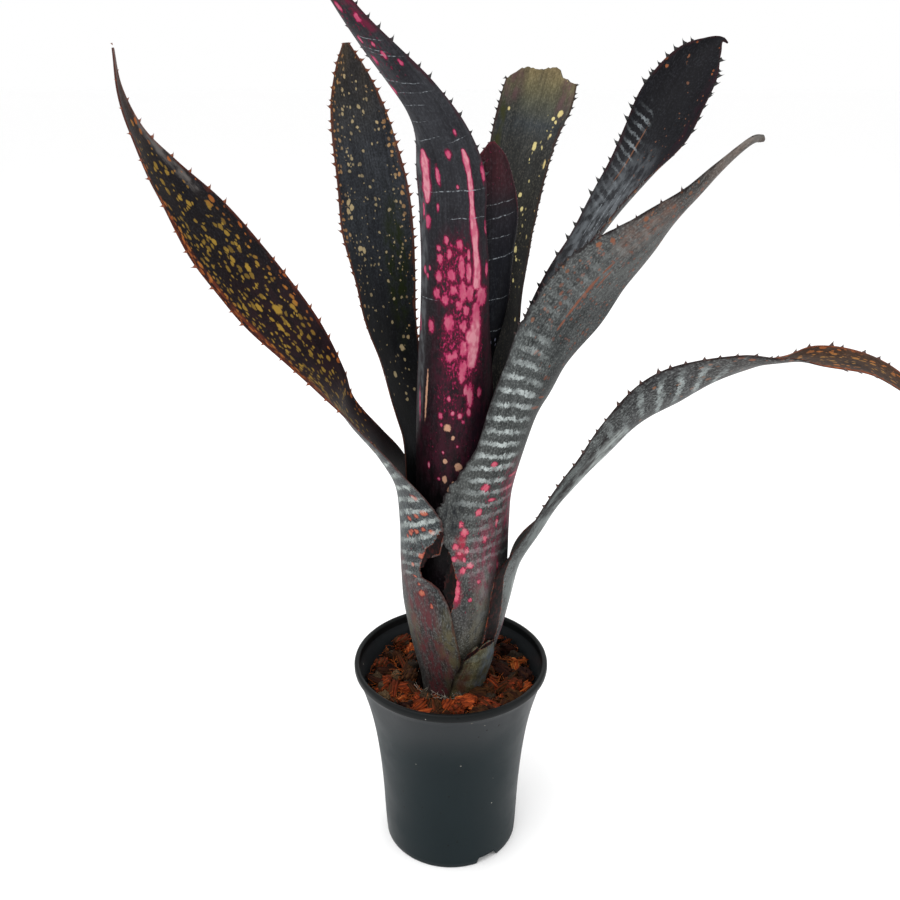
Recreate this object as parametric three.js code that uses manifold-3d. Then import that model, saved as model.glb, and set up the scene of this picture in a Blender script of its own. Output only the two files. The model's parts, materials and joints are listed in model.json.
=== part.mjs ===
// A billbergia in its nursery pot: a tall rosette of banded, spiny leaves whose sheaths make a tube,
// standing in coir husk and pumice. Millimetres, +Z up, origin on the table under the middle of the
// pot, -Y towards the viewer.
import * as THREE from 'three';
import { mergeVertices } from 'three/addons/utils/BufferGeometryUtils.js';
import Module from 'manifold-3d';

const wasm = await Module();
wasm.setup();

// Driving dimensions of the pot
const POT_HEIGHT = 130;
const RIM_RADIUS = 60.3;
const FOOT_RADIUS = 42.7;
const WALL = 1.4;
const LIP_HEIGHT = 3.8;
const LIP_WIDTH = 3.3;
const FLOOR_RAISE = 5.5;
const FLOOR_TOP = 7.5;
const FLOOR_FILLET = 2.5;
const PAD_RADIUS = 14;
const SKIRT_THICKNESS = 1.6;
const POT_SIDES = 40;
const NOTCH_WIDTH = 17;
const NOTCH_HEIGHT = 4.6;
const NOTCH_SLOPE = 2.6;
const NOTCH_BEARING = -57;
const NOTCH_COUNT = 3;

// Driving dimensions of the mix and the stem
const CLEARANCE = 0.35;
const MIX_TOP = 113;
const HOLE_RADIUS = 22.6;
const STEM_BOTTOM = 82;
const STEM_SHOULDER = 96;
const STEM_RADIUS = 19;
const STEM_TIP = 115;
const STEM_TIP_RADIUS = 4.2;
const STEM_SIDES = 24;

// The chips and grains on the mix: their length, width and height as parts of their length, the share
// that is husk, how far their corners are pulled, how far they tilt and how far they stand proud
const HUSK_SHAPE = [1, 0.66, 0.5];
const PUMICE_SHAPE = [1, 0.88, 0.8];
const HUSK_SHARE = 0.45;
const CORNER_PULL = 0.28;
const CHIP_TILT = 0.4;
const CHIP_SCATTER = 3;
const CHIP_RISE = 2.6;

// Driving dimensions of the leaves
const LEAF_THICKNESS = 0.9;
const ROW_LENGTH = 19;
const SPINE_SPACING = 8;
const SPINE_LENGTH = 2.8;
const SPINE_BASE = 2.6;
const SPINE_HOOK = 0.45;
const SPINE_FULL_WIDTH = 13;
const SPINE_LEAST = 0.35;
const SEED = 20;

// The pot wall's outer radius by height: nearly straight, then flaring to the rim
const WALL_OUTLINE = [
  [0.8, FOOT_RADIUS], [12, 43.4], [36, 44.2], [60, 45.9], [84, 48.7], [97, 51.2],
  [105, 52.9], [112, 54.9], [119, 57.1], [125, 58.6],
];

// The husk chips and pumice grains on the mix, in rings round the plant
const CHIP_RINGS = [
  { count: 10, radius: 31, size: 11 },
  { count: 12, radius: 39, size: 12.5 },
  { count: 15, radius: 46, size: 11 },
];

// The tube that the sheaths make: its outer radius by height, how far apart the sheaths lie in it,
// and how far its middle leans to the right
const TUBE_RADIUS = [
  [98, 17.5], [108, 18.5], [120, 20.5], [135, 24.5], [156, 29.5], [176, 33], [200, 34.2], [225, 34.6],
];
const SHEATH_PITCH = [[98, 1.45], [156, 1.6], [200, 1.85]];
const TUBE_LEAN = [[110, 0], [180, 3]];

const radians = THREE.MathUtils.degToRad;
const clamp = THREE.MathUtils.clamp;

function randomFrom(seed) {
  let state = seed;
  return () => {
    state = (state * 1664525 + 1013904223) % 4294967296;
    return state / 4294967296;
  };
}

// Straight-line reading of a table of [place, value] pairs, level beyond its ends
function valueAt(table, place) {
  const above = table.findIndex(([at]) => at >= place);
  if (above === 0) return table[0][1];
  if (above < 0) return table[table.length - 1][1];
  const [x0, y0] = table[above - 1];
  const [x1, y1] = table[above];
  return y0 + ((y1 - y0) * (place - x0)) / (x1 - x0);
}

function toSolid(geometry) {
  const bare = geometry.clone();
  bare.deleteAttribute('normal');
  bare.deleteAttribute('uv');
  const merged = mergeVertices(bare, 1e-4);
  const vertProperties = new Float32Array(merged.attributes.position.array);
  const triVerts = new Uint32Array(merged.index.array);
  return new wasm.Manifold(new wasm.Mesh({ numProp: 3, vertProperties, triVerts }));
}

function toGeometry(solid) {
  const mesh = solid.getMesh();
  const geometry = new THREE.BufferGeometry();
  geometry.setAttribute('position', new THREE.BufferAttribute(mesh.vertProperties, 3));
  geometry.setIndex(new THREE.BufferAttribute(mesh.triVerts, 1));
  geometry.computeVertexNormals();
  return geometry;
}

// A body turned about +Z from a profile of [radius, height] that starts and ends on the axis
function turned(profile, sides) {
  const points = profile.map(([radius, height]) => new THREE.Vector2(radius, height));
  return new THREE.LatheGeometry(points, sides).rotateX(Math.PI / 2);
}

const wallRadius = (height) => valueAt(WALL_OUTLINE, height);

// The inner wall follows every other point of the outer one
const INNER_OUTLINE = WALL_OUTLINE.filter((_, i) => i % 2 === 1).map(([z, radius]) => [radius - WALL, z]);

function potGeometry() {
  const skirt = FOOT_RADIUS - SKIRT_THICKNESS;
  const underside = [
    [0, 0], [PAD_RADIUS, 0], [PAD_RADIUS + 2, FLOOR_RAISE], [skirt - 1.5, FLOOR_RAISE],
    [skirt, FLOOR_RAISE - 1.5], [skirt, 0], [FOOT_RADIUS - 0.6, 0],
  ];
  const outside = WALL_OUTLINE.map(([z, radius]) => [radius, z]);
  const lip = [
    [RIM_RADIUS - 0.6, POT_HEIGHT - LIP_HEIGHT], [RIM_RADIUS, POT_HEIGHT - LIP_HEIGHT + 1.4],
    [RIM_RADIUS - 0.3, POT_HEIGHT - 1], [RIM_RADIUS - 1.4, POT_HEIGHT],
    [RIM_RADIUS - LIP_WIDTH + 0.7, POT_HEIGHT], [RIM_RADIUS - LIP_WIDTH, POT_HEIGHT - 1],
  ];
  const inside = INNER_OUTLINE.toReversed();
  const floor = [[wallRadius(FLOOR_TOP) - WALL - FLOOR_FILLET, FLOOR_TOP], [0, FLOOR_TOP]];
  let pot = toSolid(turned([...underside, ...outside, ...lip, ...inside, ...floor], POT_SIDES));
  for (let i = 0; i < NOTCH_COUNT; i += 1) {
    const turn = radians(NOTCH_BEARING + (360 / NOTCH_COUNT) * i);
    pot = pot.subtract(toSolid(notchGeometry().rotateZ(turn)));
  }
  return toGeometry(pot);
}

// A drain notch with sloping sides, cut outwards through the skirt that the pot stands on
function notchGeometry() {
  const half = NOTCH_WIDTH / 2;
  const outline = new THREE.Shape();
  outline.moveTo(-half, -1);
  outline.lineTo(half, -1);
  outline.lineTo(half - NOTCH_SLOPE, NOTCH_HEIGHT);
  outline.lineTo(NOTCH_SLOPE - half, NOTCH_HEIGHT);
  outline.closePath();
  const notch = new THREE.ExtrudeGeometry(outline, { depth: 4 * SKIRT_THICKNESS, bevelEnabled: false });
  return notch.rotateX(Math.PI / 2).rotateZ(Math.PI / 2).translate(FOOT_RADIUS - 3 * SKIRT_THICKNESS, 0, 0);
}

function stemGeometry() {
  return turned([
    [0, STEM_BOTTOM], [STEM_RADIUS - 2, STEM_BOTTOM], [STEM_RADIUS, STEM_BOTTOM + 3],
    [STEM_RADIUS, STEM_SHOULDER], [STEM_TIP_RADIUS, STEM_TIP], [0, STEM_TIP],
  ], STEM_SIDES);
}

// A number from 1 - spread to 1 + spread
const varied = (random, spread) => 1 + (random() * 2 - 1) * spread;

// A chip of coir husk, which is a block, or a grain of pumice, which is a ball, its corners pulled about
function chipGeometry(random, length, isHusk) {
  const [long, wide, high] = (isHusk ? HUSK_SHAPE : PUMICE_SHAPE).map((share) => share * length);
  const shape = isHusk ? new THREE.BoxGeometry(1, 1, 1) : new THREE.IcosahedronGeometry(0.5, 0);
  shape.deleteAttribute('normal');
  shape.deleteAttribute('uv');
  const chip = mergeVertices(shape, 1e-4);
  const place = chip.attributes.position;
  for (let i = 0; i < place.count; i += 1) {
    const pull = varied(random, CORNER_PULL / 2);
    place.setXYZ(i, place.getX(i) * long * pull, place.getY(i) * wide * pull, place.getZ(i) * high);
  }
  chip.rotateX((random() * 2 - 1) * CHIP_TILT);
  chip.rotateY((random() * 2 - 1) * CHIP_TILT);
  chip.rotateZ(random() * Math.PI * 2);
  return chip;
}

// The mix fills the pot to just below the rim, with a plain hole that the stem stands in
function mixGeometry() {
  const bottom = FLOOR_TOP + CLEARANCE;
  const side = INNER_OUTLINE.filter(([, z]) => z < MIX_TOP).map(([radius, z]) => [radius - CLEARANCE, z]);
  const holeBottom = STEM_BOTTOM - CLEARANCE;
  let mix = toSolid(turned([
    [0, bottom], [wallRadius(bottom) - WALL - FLOOR_FILLET - 2 * CLEARANCE, bottom], ...side,
    [HOLE_RADIUS + 12, MIX_TOP - 1], [HOLE_RADIUS, MIX_TOP], [HOLE_RADIUS, holeBottom], [0, holeBottom],
  ], POT_SIDES));
  const random = randomFrom(SEED);
  const widest = wallRadius(MIX_TOP - 3) - WALL - CLEARANCE;
  for (const ring of CHIP_RINGS) {
    for (let i = 0; i < ring.count; i += 1) {
      const turn = ((i + 0.5 * random()) / ring.count) * Math.PI * 2;
      const chip = chipGeometry(random, ring.size * varied(random, 0.15), random() < HUSK_SHARE);
      chip.computeBoundingSphere();
      const reach = chip.boundingSphere.radius;
      const middle = ring.radius + (random() - 0.5) * CHIP_SCATTER;
      const radius = clamp(middle, HOLE_RADIUS + 2 + reach, widest - reach);
      const height = MIX_TOP + random() * CHIP_RISE;
      chip.translate(radius * Math.cos(turn), radius * Math.sin(turn), height);
      mix = mix.add(toSolid(chip));
    }
  }
  return toGeometry(mix);
}

// A station of a leaf: a place on its middle line, the way its upper face looks (a bearing from +X
// towards +Y and a rise above level), its half width along the surface and the half angle of its curl
function blade(x, y, z, face, rise, halfWidth, curl) {
  return { row: [x, y, z, face, rise, halfWidth, curl], inTube: false };
}

// A station in the tube: the sheath's layer counted from outside, its bearing from the tube's middle,
// the half angle that it wraps and how far it stands out of its layer
function sheath(z, layer, bearing, wrap, out = 0) {
  const radius = valueAt(TUBE_RADIUS, z) - layer * valueAt(SHEATH_PITCH, z) + out;
  const x = valueAt(TUBE_LEAN, z) + radius * Math.cos(radians(bearing));
  const y = radius * Math.sin(radians(bearing));
  return { row: [x, y, z, bearing - 180, 0, radius * radians(wrap), wrap], inTube: true };
}

// Catmull-Rom blend of the stations, so that a leaf passes smoothly through each
function blended(stations, span, part) {
  const row = (i) => stations[i].row;
  return row(span).map((value, k) => {
    const next = row(span + 1)[k];
    const before = span > 0 ? row(span - 1)[k] : 2 * value - next;
    const after = span + 2 < stations.length ? row(span + 2)[k] : 2 * next - value;
    const cubic = (3 * value - before - 3 * next + after) * part ** 3;
    const square = (2 * before - 5 * value + 4 * next - after) * part ** 2;
    return 0.5 * (2 * value + (next - before) * part + square + cubic);
  });
}

// A point of the leaf's middle surface: across goes from -1 to 1 over an arc of the station's curl
function leafPoint(stations, span, part, across) {
  const [x, y, z, face, rise, halfWidth, curl] = blended(stations, span, part);
  const from = blended(stations, span, part - 0.01);
  const to = blended(stations, span, part + 0.01);
  const along = new THREE.Vector3(to[0] - from[0], to[1] - from[1], to[2] - from[2]).normalize();
  const up = new THREE.Vector3(1, 0, 0)
    .applyAxisAngle(new THREE.Vector3(0, -1, 0), radians(rise))
    .applyAxisAngle(new THREE.Vector3(0, 0, 1), radians(face));
  const side = new THREE.Vector3().crossVectors(up, along).normalize();
  const angle = radians(Math.max(curl, 1));
  const radius = Math.max(halfWidth, 0.3) / angle;
  return new THREE.Vector3(x, y, z)
    .addScaledVector(side, radius * Math.sin(angle * across))
    .addScaledVector(up, radius * (1 - Math.cos(angle * across)));
}

// Where the leaf's rows of points lie: at each station, with more between those of the free blade
function leafRows(stations) {
  const rows = [];
  for (let span = 0; span < stations.length - 1; span += 1) {
    const [a, b] = [stations[span], stations[span + 1]];
    const length = Math.hypot(b.row[0] - a.row[0], b.row[1] - a.row[1], b.row[2] - a.row[2]);
    const steps = a.inTube && b.inTube ? 1 : Math.max(1, Math.round(length / ROW_LENGTH));
    for (let i = 0; i < steps; i += 1) rows.push({ span, part: i / steps });
  }
  rows.push({ span: stations.length - 2, part: 1 });
  return rows;
}

// The points and triangles of one closed body
class Skin {
  positions = [];

  triangles = [];

  point(place) {
    this.positions.push(place.x, place.y, place.z);
    return this.positions.length / 3 - 1;
  }

  triangle(a, b, c) {
    this.triangles.push(a, b, c);
  }

  quad(a, b, c, d) {
    this.triangles.push(a, b, c, a, c, d);
  }

  geometry() {
    const geometry = new THREE.BufferGeometry();
    geometry.setAttribute('position', new THREE.Float32BufferAttribute(this.positions, 3));
    geometry.setIndex(this.triangles);
    geometry.computeVertexNormals();
    return geometry;
  }
}

// The three layers of points of a leaf: its middle surface and the outer and inner face on either
// side of it. The last row is moved along the leaf by tear, which gives a broken or ragged end.
function leafLayers(stations, rows, columns, tear) {
  const layers = { middle: [], outer: [], inner: [] };
  rows.forEach(({ span, part }, i) => {
    const at = (dPart, across) => leafPoint(stations, span, part + dPart, across);
    const ahead = at(0, 0).sub(at(-0.2, 0)).normalize();
    const line = { middle: [], outer: [], inner: [] };
    for (let j = 0; j <= columns; j += 1) {
      const across = (2 * j) / columns - 1;
      const along = at(0.05, across).sub(at(-0.05, across));
      const aside = at(0, across + 0.05).sub(at(0, across - 0.05));
      const normal = along.cross(aside).normalize();
      const place = at(0, across).addScaledVector(ahead, i === rows.length - 1 ? tear[j] : 0);
      line.middle.push(place);
      line.outer.push(place.clone().addScaledVector(normal, -LEAF_THICKNESS / 2));
      line.inner.push(place.clone().addScaledVector(normal, LEAF_THICKNESS / 2));
    }
    for (const name of Object.keys(layers)) layers[name].push(line[name]);
  });
  return layers;
}

// One stretch of a leaf's edge between two rows, with its spines: the points along its outer and inner
// arris, which are the rows' own and each spine's feet, and the spines' tips
function leafEdge(skin, layers, index, i, j, count, size, random) {
  const { middle, outer, inner } = layers;
  const inward = j === 0 ? 1 : j - 1;
  const between = (layer, part, column = j) => new THREE.Vector3()
    .lerpVectors(layer[i][column], layer[i + 1][column], part);
  const ahead = between(middle, 1).sub(between(middle, 0));
  const length = ahead.length();
  ahead.normalize();
  const edge = { j, outer: [index.outer[i][j]], inner: [index.inner[i][j]], tips: [] };
  for (let k = 0; k < count; k += 1) {
    const scale = size * (0.8 + 0.4 * random());
    const at = (k + 0.5 + 0.3 * (random() - 0.5)) / count;
    const foot = (scale * SPINE_BASE) / 2 / length;
    const outward = between(middle, at).sub(between(middle, at, inward)).normalize();
    const tip = between(middle, at).addScaledVector(outward, scale * SPINE_LENGTH)
      .addScaledVector(ahead, scale * SPINE_LENGTH * SPINE_HOOK);
    edge.outer.push(skin.point(between(outer, at - foot)), skin.point(between(outer, at + foot)));
    edge.inner.push(skin.point(between(inner, at - foot)), skin.point(between(inner, at + foot)));
    edge.tips.push(skin.point(tip));
  }
  edge.outer.push(index.outer[i + 1][j]);
  edge.inner.push(index.inner[i + 1][j]);
  return edge;
}

// Closes an edge between the two faces, with a four-sided spine on every second stretch
function closeEdge(skin, edge) {
  const { j, outer, inner, tips } = edge;
  for (let k = 0; k < outer.length - 1; k += 1) {
    const loop = [outer[k], outer[k + 1], inner[k + 1], inner[k]];
    if (j > 0) loop.reverse();
    if (k % 2 === 1) {
      loop.forEach((corner, n) => skin.triangle(corner, loop[(n + 1) % 4], tips[(k - 1) / 2]));
    } else {
      skin.quad(...loop);
    }
  }
}

// One face of a leaf between two rows. Both faces are cut into triangles alike, and those along an
// edge fan out to the feet of its spines.
function faceRow(skin, low, high, edges, isInner) {
  const layer = isInner ? 'inner' : 'outer';
  const columns = low.length - 1;
  const add = (a, b, c) => (isInner ? skin.triangle(a, b, c) : skin.triangle(a, c, b));
  const fan = (centre, stops, forwards) => {
    for (let k = 0; k < stops.length - 1; k += 1) {
      if (forwards) add(stops[k], stops[k + 1], centre);
      else add(centre, stops[k + 1], stops[k]);
    }
  };
  for (let j = 0; j < columns; j += 1) {
    if (j === 0) fan(low[1], edges[0][layer], true);
    if (j > 0 && j < columns / 2) add(low[j], high[j], low[j + 1]);
    if (j < columns / 2) add(high[j], high[j + 1], low[j + 1]);
    if (j >= columns / 2) add(low[j], high[j], high[j + 1]);
    if (j >= columns / 2 && j < columns - 1) add(low[j], high[j + 1], low[j + 1]);
    if (j === columns - 1) fan(low[j], edges[1][layer], false);
  }
}

// A closed leaf: two faces a leaf's thickness apart, joined round the edge, with hooked spines spaced
// along both edges from the station that spinesFrom counts to
function leafGeometry({ stations, columns, spinesFrom = Infinity, spineScale = 1, tear }) {
  const rows = leafRows(stations);
  const layers = leafLayers(stations, rows, columns, tear ?? Array(columns + 1).fill(0));
  const skin = new Skin();
  const random = randomFrom(SEED + stations.length);
  const index = {
    outer: layers.outer.map((line) => line.map((place) => skin.point(place))),
    inner: layers.inner.map((line) => line.map((place) => skin.point(place))),
  };
  for (let i = 0; i < rows.length - 1; i += 1) {
    const width = layers.middle[i][0].distanceTo(layers.middle[i][columns]);
    const full = SPINE_LEAST + ((1 - SPINE_LEAST) * width) / SPINE_FULL_WIDTH;
    const size = spineScale * Math.min(1, full);
    const edges = [0, columns].map((j) => {
      const length = layers.middle[i][j].distanceTo(layers.middle[i + 1][j]);
      const count = rows[i].span >= spinesFrom ? Math.round(length / SPINE_SPACING) : 0;
      return leafEdge(skin, layers, index, i, j, count, size, random);
    });
    faceRow(skin, index.outer[i], index.outer[i + 1], edges, false);
    faceRow(skin, index.inner[i], index.inner[i + 1], edges, true);
    edges.forEach((edge) => closeEdge(skin, edge));
  }
  const [bottom, top] = [0, rows.length - 1];
  for (let j = 0; j < columns; j += 1) {
    const { outer, inner } = index;
    skin.quad(inner[bottom][j], inner[bottom][j + 1], outer[bottom][j + 1], outer[bottom][j]);
    skin.quad(inner[top][j + 1], inner[top][j], outer[top][j], outer[top][j + 1]);
  }
  return skin.geometry();
}

// The leaves from the outermost layer of the tube inwards, read from the photo by their edges
const LEAVES = [
  {
    name: 'leaf_arching_right',
    colour: 0x4d4f4f,
    columns: 10,
    spinesFrom: 6,
    stations: [
      sheath(101, 0, 345, 40), sheath(120, 0, 345, 42), sheath(135, 0, 345, 42), sheath(156, 0, 345, 42),
      sheath(176, 0, 345, 40), blade(40, -9, 200, 162, 6, 24, 44), blade(50, -14, 222, 155, 20, 20, 42),
      blade(61, -20, 245, 146, 28, 18, 38), blade(76, -26, 269, 135, 31, 19, 34),
      blade(92, -32, 293, 125, 34, 20, 30), blade(110, -37, 312, 112, 36, 20, 28),
      blade(129, -41, 324, 105, 45, 19, 28), blade(149, -45, 332, 98, 58, 17, 28),
      blade(170, -48, 336, 90, 72, 14, 26), blade(188, -51, 338, -60, 82, 11, 22),
      blade(206, -54, 336, -60, 68, 10, 20), blade(223, -57, 327, -55, 58, 8, 20),
      blade(237, -59, 315, -50, 52, 4.5, 20), blade(247, -60, 304, -50, 48, 0.7, 20),
    ],
  },
  {
    name: 'leaf_far_left',
    colour: 0x3a2a26,
    columns: 10,
    spinesFrom: 8,
    stations: [
      sheath(102, 1, 190, 70), sheath(120, 1, 192, 78), sheath(135, 1, 195, 88), sheath(156, 1, 195, 80),
      sheath(176, 1, 196, 69, 0.2), sheath(200, 1, 187, 56, 0.3), sheath(225, 1, 192, 61),
      sheath(250, 1, 195, 52, 2.5),
      blade(-41, -15, 273, 11, 20, 25, 36), blade(-55, -21, 295, 6, 30, 21.5, 30),
      blade(-63, -25, 313, -8, 32, 21, 28), blade(-79, -30, 339, -28, 26, 21, 28),
      blade(-103, -37, 373, -38, 22, 22, 28), blade(-121, -44, 402, -33, 22, 20, 28),
      blade(-135, -51, 427, -20, 22, 14.5, 25), blade(-143, -56, 446, -6, 20, 8, 25),
      blade(-147, -60, 464, -4, 16, 3.5, 20), blade(-149, -63, 480, 0, 12, 0.7, 15),
    ],
  },
  {
    name: 'leaf_front_right',
    colour: 0x55504f,
    columns: 10,
    spinesFrom: 8,
    stations: [
      sheath(103, 2, 312, 75), sheath(120, 2, 312, 75), sheath(135, 2, 312, 72), sheath(156, 2, 312, 70),
      sheath(176, 2, 312, 68), sheath(200, 2, 312, 64), sheath(225, 2, 314, 58),
      blade(27, -24, 250, 136, 6, 27, 52), blade(34, -26, 281, 134, 10, 23, 42),
      blade(42, -26, 310, 128, 12, 22, 36), blade(58, -23, 343, 114, 10, 21, 32),
      blade(79, -20, 371, 110, 14, 19.5, 30), blade(102.5, -16, 393, 122, 24, 16, 32),
      blade(123.5, -11.5, 411.5, 134, 32, 10, 44), blade(137, -8, 425.5, 135, 34, 5.4, 72),
      blade(146.5, -5.6, 434, 135, 34, 3.9, 88), blade(153.5, -4, 438.8, 135, 32, 3.5, 95),
      blade(158.5, -3, 439.6, 135, 24, 2.8, 95),
    ],
  },
  {
    name: 'leaf_upper_right',
    colour: 0x262a33,
    columns: 10,
    spinesFrom: 10,
    spineScale: 1.25,
    stations: [
      sheath(105, 3, 8, 75), sheath(120, 3, 8, 75), sheath(135, 3, 8, 75), sheath(156, 3, 8, 72),
      sheath(176, 3, 8, 70), sheath(200, 3, 8, 66), sheath(225, 3, 8, 60), sheath(250, 3, 6, 54, 1),
      sheath(275, 3, 4, 48, 3), blade(37, 6, 300, -187, 10, 21, 46), blade(45, 12, 323, -180, 18, 21, 46),
      blade(55, 19, 344, -178, 27, 21, 48), blade(66, 26, 363, -176, 34, 20, 50),
      blade(78, 32, 380, -172, 38, 20, 46), blade(91, 41, 397, -162, 40, 21, 42),
      blade(106, 50, 417, -150, 38, 22.5, 38), blade(118, 57, 437, -135, 32, 23, 32),
      blade(127, 62, 456, -125, 27, 22, 30), blade(137, 64, 474, -117, 25, 16, 28),
      blade(145, 64, 484, -115, 25, 7, 25), blade(149, 63, 489, -115, 25, 0.7, 15),
    ],
  },
  {
    name: 'leaf_back_left',
    colour: 0x303033,
    columns: 8,
    spinesFrom: 8,
    stations: [
      sheath(107, 4, 125, 75), sheath(120, 4, 125, 75), sheath(135, 4, 125, 75), sheath(156, 4, 125, 75),
      sheath(176, 4, 125, 72), sheath(200, 4, 125, 68), sheath(225, 4, 127, 60),
      sheath(250, 4, 130, 55, 1.5),
      blade(-23, 33, 275, -36, 8, 23, 44), blade(-32, 38, 300, -30, 11, 22.5, 38),
      blade(-38, 45, 325, -34, 12, 22.5, 32), blade(-42, 53, 362, -52, 12, 23, 28),
      blade(-46, 60, 401, -66, 10, 23, 26), blade(-51, 62, 434, -60, 9, 20, 24),
      blade(-55, 63, 456, -60, 7, 16, 24), blade(-57, 63, 473, -57, 5, 9.5, 24),
      blade(-58, 63, 486, -55, 4, 2, 20),
    ],
  },
  {
    name: 'leaf_back_right',
    colour: 0x5a5244,
    columns: 8,
    spinesFrom: 9,
    tear: [-8.5, -7, -4.9, 0, -1.5, -2.7, -2.5, -5.1, -11.5],
    stations: [
      sheath(108.5, 5, 55, 75), sheath(120, 5, 55, 75), sheath(135, 5, 55, 75), sheath(156, 5, 55, 75),
      sheath(176, 5, 55, 72), sheath(200, 5, 55, 68), sheath(225, 5, 55, 64), sheath(250, 5, 54, 58, 1),
      sheath(275, 5, 56, 50, 2.5), blade(24, 31, 298, -134, 10, 22.5, 46),
      blade(29, 39, 320, -142, 13, 23, 40), blade(33, 46, 346, -144, 13, 22.5, 34),
      blade(35, 53, 379, -140, 14, 22.5, 30), blade(39, 59, 405, -132, 16, 22.5, 28),
      blade(44, 64, 433, -120, 17, 22.5, 26), blade(50, 68, 455, -113, 17, 22.5, 26),
      blade(54.8, 71.7, 474, -111, 16, 20.5, 26),
    ],
  },
  {
    name: 'leaf_centre',
    colour: 0x4a3038,
    columns: 8,
    spinesFrom: 12,
    stations: [
      sheath(110, 6, 262, 75), sheath(120, 6, 262, 75), sheath(135, 6, 262, 75), sheath(156, 6, 262, 75),
      sheath(176, 6, 262, 75), sheath(200, 6, 264, 75), sheath(225, 6, 264, 75, -0.5),
      sheath(250, 6, 264, 75, -1.5),
      sheath(275, 6, 264, 72, -2.5), sheath(300, 6, 264, 70, -3), sheath(325, 6, 264, 66, -3.2),
      sheath(350, 6, 264, 62, -3.2), blade(1, -20, 375, 84, 0, 21, 58), blade(0, -20, 400, 84, 0, 20.5, 54),
      blade(-1, -21, 422, 82, 2, 19, 50), blade(-6, -22, 441, 76, 10, 16, 48),
      blade(-16, -24, 458, 68, 18, 12.5, 46),
      blade(-30, -26, 475, 62, 24, 10, 46), blade(-44, -29, 492, 60, 26, 7, 46),
      blade(-57, -32, 509, 60, 26, 5, 46),
      blade(-68, -35, 527, 60, 24, 3, 40), blade(-77, -38, 543, 60, 22, 0.7, 30),
    ],
  },
  {
    name: 'leaf_inner',
    colour: 0x2a2128,
    columns: 8,
    spinesFrom: 11,
    spineScale: 0.7,
    stations: [
      sheath(112, 7, 320, 75), sheath(120, 7, 320, 75), sheath(135, 7, 320, 75), sheath(156, 7, 320, 75),
      sheath(176, 7, 320, 75), sheath(200, 7, 318, 72), sheath(225, 7, 316, 70, -0.5),
      sheath(250, 7, 314, 68, -1.5),
      sheath(275, 7, 312, 66, -2.5), sheath(300, 7, 310, 64, -3), blade(15, -12, 325, 124, 0, 20, 62),
      blade(19, -10, 350, 118, -2, 20, 58), blade(21, -7, 375, 112, -3, 20, 56),
      blade(22, -4, 397, 108, -4, 19, 54),
      blade(22, -1, 415, 106, -5, 16, 50), blade(22, 2, 429, 106, -5, 10, 44),
      blade(21, 4, 438, 106, -5, 1.5, 30),
    ],
  },
  {
    name: 'old_sheath',
    colour: 0x5b573f,
    columns: 10,
    tear: [1, 0, -1, 1, 3, 1, -1, 0, 2, 0, -2],
    stations: [
      sheath(99, -1, 308, 40, 0.2), sheath(112, -1, 308, 41, 0.2), sheath(124, -1, 310, 38, 0.2),
      sheath(136, -1, 314, 30, 0.2), sheath(146, -1, 318, 22, 0.2), sheath(152, -1, 318, 12, 0.2),
    ],
  },
];

function named(name, geometry, color, roughness) {
  const mesh = new THREE.Mesh(geometry, new THREE.MeshStandardMaterial({ color, roughness, metalness: 0 }));
  mesh.name = name;
  return mesh;
}

const group = new THREE.Group();
group.add(named('pot', potGeometry(), 0x2c3234, 0.5));
group.add(named('potting_mix', mixGeometry(), 0x7a4526, 0.95));
group.add(named('stem', stemGeometry(), 0x6f6a4a, 0.7));
for (const leaf of LEAVES) group.add(named(leaf.name, leafGeometry(leaf), leaf.colour, 0.5));

export default group;
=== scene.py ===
"""The looks of a potted billbergia: a tall rosette of banded, spotted, spiny leaves in coir and pumice.

Metres, +Z up, origin on the table under the middle of the pot, -Y towards the viewer. Sizes of leaves
and of their markings are in millimetres, along a leaf from its foot and across it from its middle line.
"""

import json
import math

import bmesh
import bpy
import numpy as np
from bpy.props import FloatProperty, FloatVectorProperty, IntProperty, PointerProperty
from mathutils import Matrix, Vector, noise

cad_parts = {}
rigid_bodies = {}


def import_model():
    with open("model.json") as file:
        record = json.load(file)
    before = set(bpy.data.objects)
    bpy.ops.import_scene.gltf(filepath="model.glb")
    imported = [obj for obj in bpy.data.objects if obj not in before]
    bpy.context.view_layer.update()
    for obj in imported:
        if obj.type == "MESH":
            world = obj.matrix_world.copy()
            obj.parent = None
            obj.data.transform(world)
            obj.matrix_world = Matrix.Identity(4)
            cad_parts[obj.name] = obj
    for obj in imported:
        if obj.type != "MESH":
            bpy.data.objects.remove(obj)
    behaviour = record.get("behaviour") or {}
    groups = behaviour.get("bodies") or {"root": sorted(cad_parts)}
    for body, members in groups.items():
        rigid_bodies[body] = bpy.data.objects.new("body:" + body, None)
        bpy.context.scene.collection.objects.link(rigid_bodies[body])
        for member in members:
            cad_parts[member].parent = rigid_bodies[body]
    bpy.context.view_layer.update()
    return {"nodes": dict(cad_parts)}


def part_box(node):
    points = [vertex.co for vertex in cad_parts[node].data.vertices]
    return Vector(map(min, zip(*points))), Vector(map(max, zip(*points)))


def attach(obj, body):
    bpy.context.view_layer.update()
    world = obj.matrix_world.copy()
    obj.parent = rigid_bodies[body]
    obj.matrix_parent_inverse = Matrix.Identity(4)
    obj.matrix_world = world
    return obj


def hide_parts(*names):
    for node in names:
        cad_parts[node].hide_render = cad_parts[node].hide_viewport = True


bl_info = {
    "name": "Potted billbergia",
    "version": (1, 0, 0),
    "blender": (4, 5, 0),
    "location": "3D View > Sidebar > Billbergia",
    "description": "Grows a tall spiny billbergia in its nursery pot",
    "category": "Object",
}

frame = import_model()
MM = 0.001
BODY = "root"

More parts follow.
